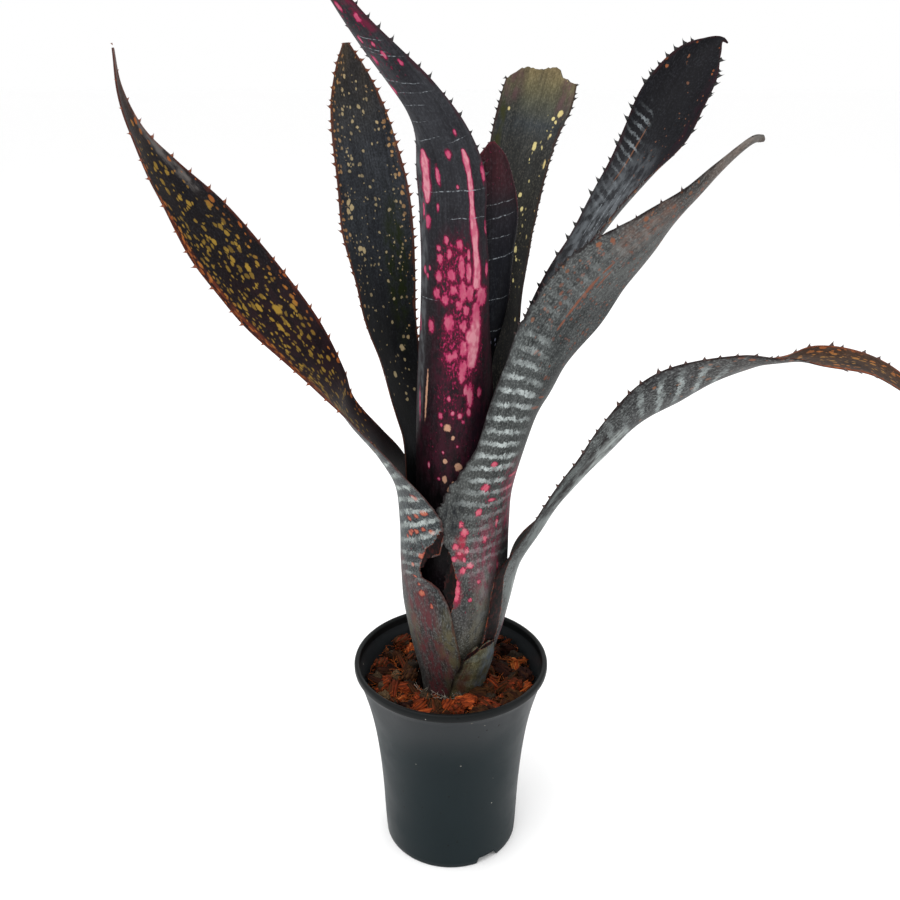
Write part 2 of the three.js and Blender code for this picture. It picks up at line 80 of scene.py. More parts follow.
# The tube that the sheaths make: its outer radius by height, how far apart the sheaths lie in it,
# and how far its middle leans to the right
TUBE_RADIUS = [
    (98, 17.5), (108, 18.5), (120, 20.5), (135, 24.5), (156, 29.5), (176, 33), (200, 34.2), (225, 34.6),
]
SHEATH_PITCH = [(98, 1.45), (156, 1.6), (200, 1.85)]
TUBE_LEAN = [(110, 0), (180, 3)]

# The pot wall's outer radius by height, in mm: nearly straight, then flaring to the rim
WALL_OUTLINE = [
    (0.8, 42.7), (12, 43.4), (36, 44.2), (60, 45.9), (84, 48.7), (97, 51.2),
    (105, 52.9), (112, 54.9), (119, 57.1), (125, 58.6),
]

# The wall and the gap between it and the mix in mm, and the bearings of the drain notches in degrees
WALL_THICKNESS = 1.4
MIX_GAP = 0.35
NOTCH_BEARINGS = (-57, 63, 183)

# How far in from a leaf's margin its outermost rows of points lie, in mm: the leaf thins out over the last
EDGE_ROWS = (0.0, 0.12, 0.4, 0.9, 1.6)
# So many steps measure a leaf's middle line
LINE_STEPS = 2000
UV_NAME = "leaf_mm"
# Markings that each point of a leaf carries as a number, besides the tints and how near a pink blotch is
PAINTED = ("powder", "pink_cloud", "amber_cloud", "pale", "scorch")

# Short names for the nodes that are used most, with the settings that go with the name
NODE_KINDS = {
    "sum": ("ShaderNodeMath", {"operation": "ADD"}),
    "product": ("ShaderNodeMath", {"operation": "MULTIPLY"}),
    "least": ("ShaderNodeMath", {"operation": "MINIMUM"}),
    "moved": ("ShaderNodeVectorMath", {"operation": "ADD"}),
    "reach": ("ShaderNodeVectorMath", {"operation": "LENGTH"}),
    "zigzag": ("ShaderNodeMath", {"operation": "PINGPONG"}),
    "above": ("ShaderNodeMath", {"operation": "GREATER_THAN"}),
    "mix": ("ShaderNodeMix", {"data_type": "RGBA"}),
    "shade": ("ShaderNodeMix", {"data_type": "RGBA", "blend_type": "MULTIPLY"}),
    "smooth": ("ShaderNodeMapRange", {"interpolation_type": "SMOOTHSTEP"}),
    "range": ("ShaderNodeMapRange", {}),
    "ramp": ("ShaderNodeValToRGB", {}),
    "noise": ("ShaderNodeTexNoise", {}),
    "cells": ("ShaderNodeTexVoronoi", {}),
    "sized": ("ShaderNodeMapping", {}),
    "parts": ("ShaderNodeSeparateColor", {}),
    "split": ("ShaderNodeSeparateXYZ", {}),
    "relief": ("ShaderNodeBump", {}),
    "random": ("FunctionNodeRandomValue", {"data_type": "FLOAT"}),
}


def linear(code):
    """An sRGB hex colour as linear red, green and blue."""
    parts = [int(code[i:i + 2], 16) / 255 for i in (1, 3, 5)]
    return tuple(c / 12.92 if c <= 0.04045 else ((c + 0.055) / 1.055) ** 2.4 for c in parts)


def opaque(colour):
    """A hex colour or three linear parts as the four parts that a colour socket takes."""
    return (*(linear(colour) if isinstance(colour, str) else colour), 1.0)


def reading(table, place):
    """Straight-line reading of a table of (place, value) pairs."""
    places, values = zip(*table)
    return np.interp(place, places, values)


def blade(x, y, z, face, rise, half_width, curl):
    """A station of a leaf: a place on its middle line, the bearing and rise of its upper face, its half
    width and how far each half curls round, in degrees."""
    return (x, y, z, face, rise, half_width, curl)


def sheaths(layer, *rows):
    """Stations of a sheath in the tube, whose layer is counted from outside. A row is a height, a bearing,
    how far each half wraps round in degrees and, where that isn't plain, how far it stands out."""
    stations = []
    for z, bearing, wrap, *out in rows:
        radius = reading(TUBE_RADIUS, z) - layer * reading(SHEATH_PITCH, z) + (out[0] if out else 0.0)
        turn = math.radians(bearing)
        x = reading(TUBE_LEAN, z) + radius * math.cos(turn)
        half_width = radius * math.radians(wrap)
        stations.append(blade(x, radius * math.sin(turn), z, bearing - 180, 0, half_width, wrap))
    return stations


def leaf(slot, stations, spines_from, **more):
    """One leaf's record: its stations, where its spines start (counted in stations) and what it has of its
    own. The spines' spacing is given from a place along the leaf on, where 0 means none. Low and high say
    how far the torn margins stand in from the plain ones, and top how far the broken end is cut back. The
    spiny margins are columns, each with one further in and how far its spines lean round. A leaf with
    small markings has a smaller mesh size."""
    plain = {"spine_scale": 1.0, "spacing": [(0, 6.2)], "horn": "#2e1611", "ripple": 0.8,
             "low": [], "high": [], "top": [], "margins": ((0, 4, 0.0), (-1, -5, 0.0)), "mesh_size": 1.0}
    return {**plain, "slot": slot, "stations": stations, "spines_from": spines_from, **more}


LEAVES = {
    "leaf_arching_right": leaf(
        "leaf_banded",
        [
            *sheaths(0, (101, 345, 40), (120, 345, 42), (135, 345, 42), (156, 345, 42), (176, 345, 40)),
            blade(40, -9, 200, 162, 6, 24, 44), blade(50, -14, 222, 158, 24, 18, 38),
            blade(61, -20, 245, 150, 32, 15, 32), blade(76, -26, 269, 138, 34, 16, 28),
            blade(92, -32, 293, 126, 35, 18.5, 28), blade(110, -37, 312, 112, 36, 20, 28),
            blade(129, -41, 324, 105, 45, 19, 28), blade(149, -45, 332, 98, 62, 17, 26),
            blade(166, -47.5, 335.5, 90, 78, 13, 22), blade(184, -50.5, 338, -60, 78, 11, 20),
            blade(206, -54, 336, -60, 68, 10, 20), blade(223, -57, 327, -55, 58, 8, 20),
            blade(237, -59, 315, -50, 52, 4.5, 20), blade(247, -60, 304, -50, 48, 0.7, 20),
        ],
        spines_from=6,
        spine_scale=0.95,
        spacing=[(0, 8.2)],
        horn="#3a1c12",
    ),
    "leaf_far_left": leaf(
        "leaf_spotted",
        [
            *sheaths(1, (102, 190, 70), (120, 192, 78), (135, 195, 88), (156, 195, 80), (176, 196, 69, 0.2),
                     (200, 187, 56, 0.3), (225, 192, 61), (250, 195, 52, 2.5)),
            blade(-41, -15, 273, 11, 20, 25, 36), blade(-55, -21, 295, 6, 30, 21.5, 30),
            blade(-63, -25, 313, -8, 32, 21, 28), blade(-79, -30, 339, -28, 26, 21, 28),
            blade(-103, -37, 373, -38, 22, 22, 28), blade(-121, -44, 402, -33, 22, 20, 28),
            blade(-135, -51, 427, -20, 22, 14.5, 25), blade(-143, -56, 446, -6, 20, 8, 25),
            blade(-146.5, -60, 464, -4, 16, 3.5, 20), blade(-146, -63, 481.5, 0, 12, 0.7, 15),
        ],
        spines_from=8,
        horn="#74381a",
        spine_scale=0.8,
        spacing=[(0, 10.8)],
        margins=((0, 4, 0.0), (-1, -5, -1.0)),
        ripple=0.35,
        high=[(88, 0), (93, 2), (98, 5), (106, 6.5), (114, 7), (118, 6), (122, -1), (130, -3), (142, -3),
              (155, -1), (168, 0)],
        mesh_size=0.72,
    ),
    "leaf_front_right": leaf(
        "leaf_banded",
        [
            *sheaths(2, (103, 312, 75), (120, 312, 75), (135, 312, 72), (156, 312, 70), (176, 312, 68),
                     (200, 312, 64), (225, 314, 58)),
            blade(27, -24, 250, 136, 6, 27, 52), blade(34, -26, 281, 134, 10, 23, 42),
            blade(42, -26, 310, 128, 12, 22, 36), blade(58, -23, 343, 114, 10, 21, 32),
            blade(79, -20, 371, 110, 14, 19.5, 30), blade(102.5, -16, 393, 122, 24, 16, 32),
            blade(123.5, -11.5, 411.5, 134, 32, 10, 44), blade(137, -8, 425.5, 135, 34, 5.4, 72),
            blade(146.5, -5.6, 434, 135, 34, 3.9, 88), blade(153.5, -4, 438.8, 135, 32, 3.5, 95),
            blade(158.5, -3, 439.6, 135, 24, 2.8, 95),
        ],
        spines_from=8,
        spine_scale=0.7,
        spacing=[(0, 0), (238, 4.7), (275, 10.5), (340, 0)],
        margins=((0, 4, 0.0),),
        horn="#2a1412",
        low=[(64, 0), (70, 3.5), (83, 5.5), (97, 5), (110, 5.5), (119, 4), (125, -2), (132, -7),
             (141, -8.5), (152, -7), (165, -3), (180, 0), (225, 0), (238, -2.2), (252, -2.6), (266, -3.6),
             (277, -4.4), (285, -3.4), (298, -1.2), (312, 0)],
        mesh_size=0.72,
    ),
    "leaf_upper_right": leaf(
        "leaf_dark",
        [
            *sheaths(3, (105, 8, 75), (120, 8, 75), (135, 8, 75), (156, 8, 72), (176, 8, 70), (200, 8, 66),
                     (225, 8, 60), (250, 6, 54, 1), (275, 4, 48, 3)),
            blade(37, 6, 300, -187, 10, 21, 46), blade(45, 12, 323, -180, 18, 21, 46),
            blade(55, 19, 344, -178, 27, 21, 48), blade(66, 26, 363, -176, 34, 20, 50),
            blade(78, 32, 380, -172, 38, 20, 46), blade(91, 41, 397, -162, 40, 21, 42),
            blade(106, 50, 417, -150, 38, 22.5, 38), blade(118, 57, 437, -135, 32, 23, 32),
            blade(127, 62, 456, -125, 27, 22, 30), blade(137, 64, 474, -117, 25, 16, 28),
            blade(145, 64, 484, -115, 25, 7, 25), blade(149.3, 63, 487.5, -115, 25, 1.8, 15),
            blade(152.5, 62.5, 485.8, -115, 25, 0.4, 15),
        ],
        spines_from=10,
        spine_scale=1.1,
        spacing=[(0, 9.0), (330, 7.0), (395, 4.5), (418, 0)],
        horn="#0f0c0c",
    ),
    "leaf_back_left": leaf(
        "leaf_spotted",
        [
            *sheaths(4, (107, 125, 75), (120, 125, 75), (135, 125, 75), (156, 125, 75), (176, 125, 72),
                     (200, 125, 68), (225, 127, 60), (250, 130, 55, 1.5)),
            blade(-23, 33, 275, -36, 8, 23, 44), blade(-32, 38, 300, -30, 11, 22.5, 38),
            blade(-38, 45, 325, -34, 12, 22.5, 32), blade(-42, 53, 362, -52, 12, 23, 28),
            blade(-46, 60, 401, -66, 10, 23, 26), blade(-51, 62, 434, -60, 9, 20, 24),
            blade(-55, 63, 456, -60, 7, 16, 24), blade(-57, 63, 473, -57, 5, 9.5, 24),
            blade(-58, 63, 486, -55, 4, 2, 20),
        ],
        spines_from=8,
        horn="#6a341a",
        spine_scale=0.9,
        spacing=[(0, 6.0)],
    ),
    "leaf_back_right": leaf(
        "leaf_olive",
        [
            *sheaths(5, (108.5, 55, 75), (120, 55, 75), (135, 55, 75), (156, 55, 75), (176, 55, 72),
                     (200, 55, 68), (225, 55, 64), (250, 54, 58, 1), (275, 56, 50, 2.5)),
            blade(24, 31, 298, -134, 10, 22.5, 46), blade(29, 39, 320, -142, 13, 23, 40),
            blade(33, 46, 346, -144, 13, 22.5, 34), blade(35, 53, 379, -140, 14, 22.5, 30),
            blade(39, 59, 405, -132, 16, 22.5, 28), blade(44, 64, 433, -120, 17, 22.5, 26),
            blade(50, 68, 455, -113, 17, 22.5, 26), blade(54.8, 71.7, 474, -111, 16, 20.5, 26),
        ],
        spines_from=9,
        spine_scale=0.72,
        spacing=[(0, 4.4)],
        horn="#1c1412",
        low=[(250, 0), (290, 2.5), (335, 2.8), (347, 2.2), (354, 0.5), (362, 0)],
        top=[(-20.5, 8.5), (-15.4, 7), (-10.3, 4.9), (-7.5, 0.5), (-5.1, 0), (0, 1.5), (5.1, 2.7),
             (10.3, 2.5), (15.4, 5.1), (20.5, 11.5)],
    ),
    "leaf_centre": leaf(
        "leaf_pink",
        [
            *sheaths(6, (110, 262, 75), (120, 262, 75), (135, 262, 75), (156, 262, 75), (176, 262, 75),
                     (200, 264, 75), (225, 264, 75, -0.2), (250, 264, 75, -0.4), (275, 264, 73, -0.6),
                     (300, 264, 71, -1.0), (325, 264, 67, -1.7), (350, 264, 62, -2.6)),
            blade(1, -20, 375, 84, 0, 21, 58), blade(0, -20, 400, 84, 0, 20.5, 54),
            blade(-1, -21, 422, 82, 2, 19, 50), blade(-6, -22, 441, 76, 10, 16, 48),
            blade(-16, -24, 458, 68, 18, 12.5, 46), blade(-30, -26, 475, 62, 24, 10, 46),
            blade(-44, -29, 492, 60, 26, 7, 46), blade(-57, -32, 509, 60, 26, 5, 46),
            blade(-68, -35, 527, 60, 24, 3, 40), blade(-77, -38, 543, 60, 22, 0.7, 30),
        ],
        spines_from=12,
        spine_scale=0.78,
        horn="#140b0e",
        spacing=[(0, 7.6)],
        mesh_size=0.6,
    ),
    "leaf_inner": leaf(
        "leaf_dark",
        [
            *sheaths(7, (112, 320, 75), (120, 320, 75), (135, 320, 75), (156, 320, 75), (176, 320, 75),
                     (200, 318, 72), (225, 316, 70, -0.5), (250, 314, 68, -1.5), (275, 312, 66, -2.5),
                     (300, 310, 64, -3)),
            blade(15, -12, 325, 124, 0, 20, 62), blade(19, -10, 350, 118, -2, 20, 58),
            blade(21, -7, 375, 112, -3, 20, 56), blade(22, -4, 397, 108, -4, 19, 54),
            blade(22, -1, 415, 106, -5, 16, 50), blade(22, 2, 429, 106, -5, 10, 44),
            blade(21, 4, 438, 106, -5, 1.5, 30),
        ],
        spines_from=11,
        spine_scale=0.6,
        horn="#2a1014",
        spacing=[(0, 4.6)],
    ),
    "old_sheath": leaf(
        "dry_sheath",
        [
            *sheaths(-1, (99, 306, 40, 0.2), (112, 305, 40, 0.2), (124, 305, 36, 0.2), (136, 306, 30, 0.2),
                     (146, 306, 24, 0.2), (153, 305, 18, 0.2), (157, 304, 12, 0.2)),
        ],
        spines_from=None,
        ripple=0.0,
        top=[(-8, 3), (-5, 0), (-2, 4), (1, 1), (3, 0), (6, 3), (9, 1)],
    ),
}


# Finishes of leaf faces, the outer and then the inner one of each leaf. Ground colours run along the leaf.
# Painted marks (powder, clouds, tints, pale, scorch) are patches (along, across, half length, half width)
# with or without a strength, or strokes, lists of (along, across, half width). Pink blotches are ovals or
# strokes. Amber spots and lines are ovals with or without a turn in degrees. All sizes are in mm. Scurf is
# how strongly the ground is speckled, salt its pale flecks, and a band has a spacing, a share and a sway.
BARE = {
    "ground": [(0, "#3b3a33"), (60, "#3a3937"), (200, "#2b2a2c"), (400, "#201e20")],
    "mottle": ("#131213", 0.6),
    "margin": ("#43201a", 0.6),
    "tints": [],
    "scurf": 0.35,
    "salt": ("#5c6064", 0.08),
    "slant": 0.0,
    "powder_colour": "#a9b1b0",
    "band": (7.4, 0.42, 3.0),
    "pink_colours": ("#571a30", "#b8446c", "#dc9ba8"),
    "amber_colours": ("#b0703a", "#7d7030"),
    "amber_size": (3.0, 4.4),
    "amber_strength": 0.9,
    "gloss": 0.5,
    "shine": 0.1,
}
BACK_BANDED = {
    **BARE,
    "ground": [(0, "#41423b"), (80, "#404141"), (200, "#3a3b3c"), (400, "#262527")],
    "powder": [(120, 0, 110, 60, 0.7), (260, 0, 120, 40, 0.6)],
    "amber_cloud": [(250, 0, 200, 40, 0.2)],
}
INNER_DARK = {
    **BARE,
    "ground": [(0, "#222220"), (150, "#161517"), (400, "#191719")],
    "mottle": ("#0e0c0e", 0.6),
    "amber_cloud": [(280, 0, 160, 40, 0.3)],
}

FINISHES = {
    "leaf_arching_right": (
        {
            **BARE,
            "ground": [(0, "#33322d"), (40, "#343333"), (75, "#3d3b3b"), (95, "#4a4b4b"), (150, "#464848"),
                       (200, "#3f4141"), (250, "#3b3b3c"), (300, "#454240"), (394, "#3d322b")],
            "mottle": ("#202022", 0.6),
            "scurf": 0.7,
            "salt": ("#858b89", 0.4),
            "margin": ("#190d0d", 0.85),
            "tints": [("#646a69",
                       [[(72, 0, 9), (92, -2, 12), (112, -3, 14), (150, -4, 14), (175, -3, 13)],
                        (99, 12, 8, 9, 0.7)]),
                      ("#8c9290",
                       [[(72, 3, 6), (92, 2, 7), (112, 2, 7), (150, 2, 8), (175, 2, 8), (208, 0, 6)]]),
                      ("#191516", [[(150, -8, 5), (180, -6, 4), (205, -8, 4)]]),
                      ("#5b3540", [(60, 2, 14, 6)])],
            "scorch": [[(42, -13, 5), (70, -17, 5.5), (88, -19, 4.5), (104, -21, 3), (118, -21, 2)]],
            "powder": [(247, -1, 30, 15, 1.0), (206, 0, 18, 20, 0.45)],
            "powder_colour": "#9ea6a5",
            "slant": -0.6,
            "band": (11.0, 0.5, 4.0),
            "amber": [(221, 4, 0.9, 0.7), (247, 6, 0.9, 0.7), (283, 6, 1.6, 0.9), (240, -13, 1.0, 0.7)],
            "amber_cloud": [(300, 0, 50, 20, 0.2)],
            "amber_colours": ("#84503a", "#7a5640"),
        },
        {
            **INNER_DARK,
            "ground": [(0, "#222220"), (230, "#1f1c1b"), (285, "#2a211c"), (310, "#38281e"),
                       (394, "#3c2a1f")],
            "margin": ("#7a3a1c", 0.6),
            "amber_cloud": [(345, 0, 60, 16, 0.5)],
            "amber_colours": ("#a55c2c", "#98703a"),
            "amber_size": (1.9, 5.0),
        },
    ),
    "leaf_far_left": (
        {
            **BARE,
            "ground": [(0, "#252320"), (40, "#3a3937"), (120, "#3d4243"), (190, "#3a3e40"),
                       (230, "#3c3c3b"), (417, "#2a2624")],
            "mottle": ("#27282a", 0.6),
            "scurf": 0.75,
            "salt": ("#858b89", 0.26),
            "powder": [(158, 22, 36, 30, 1.0), (112, 20, 20, 34, 0.5), (300, 0, 90, 30, 0.5)],
            "powder_colour": "#b2bab7",
            "band": (8.6, 0.5, 3.0),
            "slant": 0.55,
            "tints": [("#54292d",
                       [(72, 18, 22, 11, 0.9), (44, 22, 20, 11, 0.9), (96, 6, 14, 8, 0.6),
                        (16, 18, 14, 8)]),
                      ("#544e39", [(50, 36, 26, 9, 0.8), (16, 32, 18, 10, 0.8), (60, 8, 14, 8, 0.5)]),
                      ("#3a1512", [(112, 29, 9, 5), (97, 33, 8, 4)])],
            "pink": [(156, 22.9, 2.2, 2.6), (146, 27, 1.9, 1.9), (137, 14, 1.5, 2.2), (141, 20, 1.4, 2.2),
                     (145, 25.5, 1.7, 2.2), (134, 30.5, 1.6, 2.2), (128, 15, 1.4, 1.9), (131, 20, 1.5, 1.9),
                     (134, 25, 1.4, 1.8), (121, 28, 2.2, 2.2), (118, 24, 1.8, 1.8), (117, 32, 1.4, 1.8),
                     (109, 19, 1.5, 1.6), (113, 25, 1.3, 1.5), (111, 31, 1.4, 2.6), (98, 21, 2.0, 1.8),
                     (103, 31, 1.2, 1.2), (90, 22, 1.5, 1.2), (84, 22.3, 2.0, 2.6), (78, 27, 1.4, 1.3),
                     (130, 16, 1.2, 1.2), (125, 12, 1.4, 1.2)],
            "pink_cloud": [(100, 22, 34, 14, 0.42), (66, 24, 14, 12, 0.3)],
            "scorch": [[(127, 34, 2.0), (122, 29, 2.4), (113, 26.5, 2.2), (105, 28, 2.2), (96, 32, 2.0)],
                       [(134, 36, 1.4), (124, 33, 2.4)]],
            "pink_colours": ("#4e1a20", "#96483a", "#bf8468"),
            "amber_cloud": [(300, 0, 120, 30, 0.2)],
        },
        {
            **INNER_DARK,
            "ground": [(0, "#1b1817"), (180, "#170c0e"), (260, "#130b0d"), (330, "#141011"),
                       (372, "#1d1817"), (400, "#3a302c"), (417, "#5d544e")],
            "mottle": ("#0c0a10", 0.7),
            "margin": ("#5e2716", 0.5),
            "tints": [("#241519", [(240, 0, 60, 26, 0.8)]),
                      ("#5a5654", [[(345, -13, 2), (380, -8, 3), (405, -3, 2.5), (417, 0, 2)]]),
                      ("#5a2a1a", [[(214, 17, 1.6), (260, 18, 1.8), (300, 18.5, 1.6), (345, 16, 1.4)]])],
            "amber_cloud": [(222, 0, 40, 24, 0.4), (285, 0, 62, 24, 0.62), (345, 0, 45, 22, 0.4),
                            [(205, 12, 7), (260, 15, 7), (310, 16, 7), (350, 14, 6)]],
            "amber": [(275, -5.4, 3.2, 1.9), (268, 1, 2.8, 1.4), (283, 3, 2.6, 1.3), (300, -8, 2.4, 1.2)],
            "amber_colours": ("#a65a28", "#94762e"),
            "amber_size": (3.0, 5.6),
        },
    ),
    "leaf_front_right": (
        {
            **BARE,
            "ground": [(0, "#2e2c25"), (40, "#413f36"), (75, "#444241"), (150, "#424443"), (240, "#474a4a"),
                       (290, "#4b4c4c"), (340, "#4c4947"), (392, "#6e6058")],
            "mottle": ("#28292a", 0.6),
            "scurf": 0.5,
            "salt": ("#8a918e", 0.24),
            "margin": ("#150c0e", 0.8),
            "tints": [("#8a364e", [(143, 15, 24, 9), (160, 8, 13, 8, 0.8), (112, -4, 26, 10, 0.5)]),
                      ("#72564a", [(316, -8, 18, 8, 0.5)]), ("#1b1d20", [(141, -26, 10, 6, 1.0)]),
                      ("#5b574a", [(70, -6, 26, 8, 0.6), (40, 4, 22, 10, 0.6)]),
                      ("#707371", [(300, 0, 30, 12, 0.35), (84, 0, 22, 10, 0.5), (380, 0, 20, 6, 0.4)]),
                      ("#8f2a3c", [(121, -21, 9, 3.4), (92, -22, 8, 2.6)])],
            "powder": [(192, -10, 40, 15, 1.0), (150, -4, 12, 20, 0.45), (120, 0, 20, 30, 0.25),
                       (236, -12, 9, 9, 0.45), (268, -12, 24, 7, 0.17), (306, -6, 18, 7, 0.1)],
            "powder_colour": "#b9c1c0",
            "band": (7.2, 0.54, 3.6),
            "pink": [(172, -10.7, 1.6, 2.2), (158, -12.2, 2.6, 2.4), (150, -6, 1.2, 2.6),
                     (143, -13.3, 2.6, 1.8), (136, -21.9, 2.2, 1.6), (131, -19.6, 2.6, 2.4),
                     (125, -7, 2.8, 1.6), (134, 0.7, 4, 1.2), (121.5, -23.8, 2.2, 2.0),
                     (117, -21.5, 1.6, 1.4), (113.5, -24.2, 2.2, 1.6), (119, -17.6, 2.6, 1.4),
                     (113, -18.6, 1.6, 1.2), (109, -14.9, 2.0, 2.0), (106, -19, 2.4, 1.6),
                     (93, -22, 9, 2.2), (105, 4.2, 3.6, 1.0), (155, 7, 1.4, 6), (163, 9, 1.2, 6),
                     (98, -9, 1.6, 1.2), (87, -14, 1.6, 1.2)],
            "pink_cloud": [(140, 2, 36, 20, 0.5), (145, 15, 24, 8, 0.72), (100, -12, 30, 20, 0.4)],
            "pink_colours": ("#6b1c33", "#b03a56", "#d48c90"),
            "amber": [(253, -4.4, 4, 0.6), (264, -4.5, 7, 0.7), (276, -4.5, 7, 0.8), (284, -1.6, 6, 0.4),
                      (289, -4.3, 4, 0.6), (293, -17, 1.4, 1.3), (299, -14, 1.4, 1.3), (318, -12, 1.4, 1.2),
                      (205, 9, 1.0, 4.5), (212, 10, 0.8, 3.5)],
            "amber_cloud": [(290, 0, 60, 26, 0.24), (318, 0, 34, 20, 0.3)],
            "amber_colours": ("#8a5a3c", "#774b3c"),
            "amber_size": (2.6, 3.4),
            "amber_strength": 0.75,
            "lines": [(223, -12, 0.3, 12)],
            "line_colour": "#1b1c1d",
            "scorch": [[(116, -28, 1.4), (109, -27.5, 3.2), (97, -27, 5.2), (83, -28.5, 4.6),
                        (68, -31, 2.4)]],
        },
        dict(INNER_DARK),
    ),
    "leaf_upper_right": (
        dict(BACK_BANDED),
        {
            **BARE,
            "ground": [(0, "#1d1e20"), (230, "#2c2c2e"), (290, "#2c2c2f"), (345, "#1f1f23"),
                       (372, "#121216"), (428, "#0f0e12")],
            "mottle": ("#111115", 0.6),
            "scurf": 0.35,
            "margin": ("#2c1216", 0.7),
            "tints": [("#22121a", [[(345, -17, 3), (380, -18, 3.5), (408, -14, 2.5)]]),
                      ("#5c6064", [(300, 4, 48, 16, 1.0), (338, -2, 20, 6, 0.5)])],
            "powder": [(360, 16, 20, 7, 0.85), (328, 16, 16, 6, 0.4)],
            "powder_colour": "#8a9195",
            "slant": 0.45,
            "band": (5.6, 0.5, 3.0),
            "lines": [(300, 6.5, 34, 0.35), (318, 3.0, 24, 0.25), (312, 11.5, 18, 0.3)],
            "amber": [(404, 18, 1.2, 1.4), (401, 15, 0.9, 0.9), (351, 11.8, 18, 0.45, 5.4)],
            "amber_cloud": [(385, -8, 50, 16, 0.06)],
            "amber_colours": ("#a85c2c", "#6d4a38"),
            "amber_size": (2.0, 2.4),
            "pink_cloud": [(385, -14, 45, 7, 0.33)],
            "pink_colours": ("#2e0f16", "#6e3038", "#8c5a5c"),
        },
    ),
    "leaf_back_left": (
        dict(BACK_BANDED),
        {
            **INNER_DARK,
            # Near black low down, deep in the rosette, and in the near black wash at 206 mm: the face's own
            # dark colour with painted shade laid into it
            "ground": [(0, "#1a1b1c"), (180, "#0b0c0c"), (225, "#111213"), (280, "#2a2d31"),
                       (335, "#2f3135"), (365, "#2f2d2b"), (390, "#383027")],
            "mottle": ("#1c1d22", 0.6),
            "scurf": 0.4,
            "margin": ("#5c2c18", 0.6),
            "tints": [("#1d240c", [(262, -12, 42, 7, 0.9)]), ("#0e0f11", [(206, 0, 34, 30, 0.85)])],
            "amber_cloud": [(225, 0, 50, 26, 0.07), (315, 0, 80, 26, 0.16), (290, 18, 50, 5, 0.5),
                            (350, 12, 36, 7, 0.4), (300, -17, 60, 4, 0.45)],
            "amber": [(218, -10.1, 1.9, 1.5), (203, 1.1, 1.9, 1.6), (302, 13.9, 2.0, 1.5),
                      (278, 11.6, 1.5, 1.7), (277, 9, 1.8, 1.2), (300, 16.5, 2, 1.2), (305, 16, 1.8, 1.2),
                      (296, 15, 1.2, 1.1)],
            "amber_colours": ("#b07e4c", "#b09e78"),
            "amber_size": (2.8, 3.4),
        },
    ),
    "leaf_back_right": (
        dict(BACK_BANDED),
        {
            **INNER_DARK,
            # Near black low down, deep in the rosette: the face's own dark colour with painted shade laid
            # into it
            "ground": [(0, "#151514"), (170, "#0c0c0d"), (240, "#0b0b0b"), (275, "#141412"),
                       (305, "#262623"), (335, "#313231"), (345, "#34383a"), (357, "#48483c"),
                       (366, "#605a42"), (376, "#726446")],
            "mottle": ("#1f1f20", 0.55),
            "scurf": 0.3,
            "salt": ("#8a8472", 0.1),
            "margin": ("#33211c", 0.8),
            "tints": [("#5a4044", [(364, 17, 10, 6, 0.6), (362, -16, 12, 5, 0.6)]),
                      ("#34361f", [[(300, 19, 2), (330, 19, 2.2), (352, 19, 2)]])],
            "amber": [(333, -5.1, 2.4, 1.4), (353, -15.8, 2.0, 1.7), (350, -12, 1.2, 1.0),
                      (348, -14.5, 1.1, 0.8), (340, -14, 1.2, 0.8), (323, -15.7, 2.2, 0.9),
                      (305, -2.2, 1.5, 1.2), (297, -5.6, 1.4, 1.2), (274, -5.1, 1.9, 1.4),
                      (268, -7, 1.1, 0.9), (256, -6, 1.1, 0.9), (234, -12, 1.1, 0.9), (350, 16, 1.2, 0.8)],
            "amber_cloud": [(300, -12, 60, 8, 0.1)],
            "amber_colours": ("#b09060", "#c9bb80"),
            "amber_size": (2.2, 3.2),
        },
    ),
    "leaf_centre": (
        {
            **BARE,
            "ground": [(0, "#181214"), (110, "#130c0f"), (150, "#170f12"), (195, "#1a1115"),
                       (230, "#1d171a"), (280, "#242327"), (340, "#2c2d31"), (380, "#303034"),
                       (459, "#2b1f22")],
            "mottle": ("#151318", 0.55),
            "scurf": 0.22,
            "margin": ("#331820", 0.8),
            "tints": [("#3d1524", [(215, 6, 50, 16, 0.9), (262, 4, 26, 14, 0.8), (170, 2, 24, 26, 0.6)]),
                      ("#4b4d50",
                       [[(185, -22, 2.5), (260, -18, 3), (330, -15, 3), (370, -10, 3), (410, -5, 2)]]),
                      ("#1c1119", [[(205, 14, 4), (190, 15, 5), (160, 14, 5)]]),
                      # Painted shade: a near black patch low on the sheath, where it lies deep in the tube
                      ("#070506", [(122, -10, 30, 24, 1.0)]),
                      ("#571c30", [[(392, 6, 2.5), (420, 4, 3), (450, 1, 2)]])],
            "pink": [[(330, -10.4, 1.4), (324, -10.8, 2.9), (317, -11.7, 2.3), (309, -12.6, 3.0),
                      (303, -12.9, 1.8)],
                     [(325, 9.4, 0.9), (321, 9.8, 1.7), (314, 10.2, 1.2), (309, 10.3, 1.5),
                      (301, 10.8, 1.2), (294, 11.2, 1.8), (286, 12, 2.4), (278, 12, 1.6), (268, 12.8, 2.3),
                      (260, 12.5, 2.6)],
                     [(249, 12.4, 2.2), (242, 12.6, 3.2), (234, 12, 3.5), (226, 11, 3.8), (218, 10, 2.8)],
                     (316, -5.1, 5, 1.2), (325, 2.2, 2.5, 1.5), (254, 15.5, 5.5, 3.6),
                     (279.5, -6.7, 1.8, 1.3), (274, -6.4, 3.0, 1.9), (283.5, -2.7, 2.5, 1.4),
                     (276.5, -1.4, 3.0, 1.6), (281, 3.9, 3.0, 1.8), (264.5, -7.4, 3.2, 2.1),
                     (265.5, -0.7, 3.5, 2.4), (255.5, -8.6, 3.2, 2.1), (269.5, 4.6, 7, 1.8),
                     (266.5, 8.2, 6, 1.5), (257, 5, 6, 2.3), (256, 9, 5, 2.1), (252.5, -3.9, 3, 2.3),
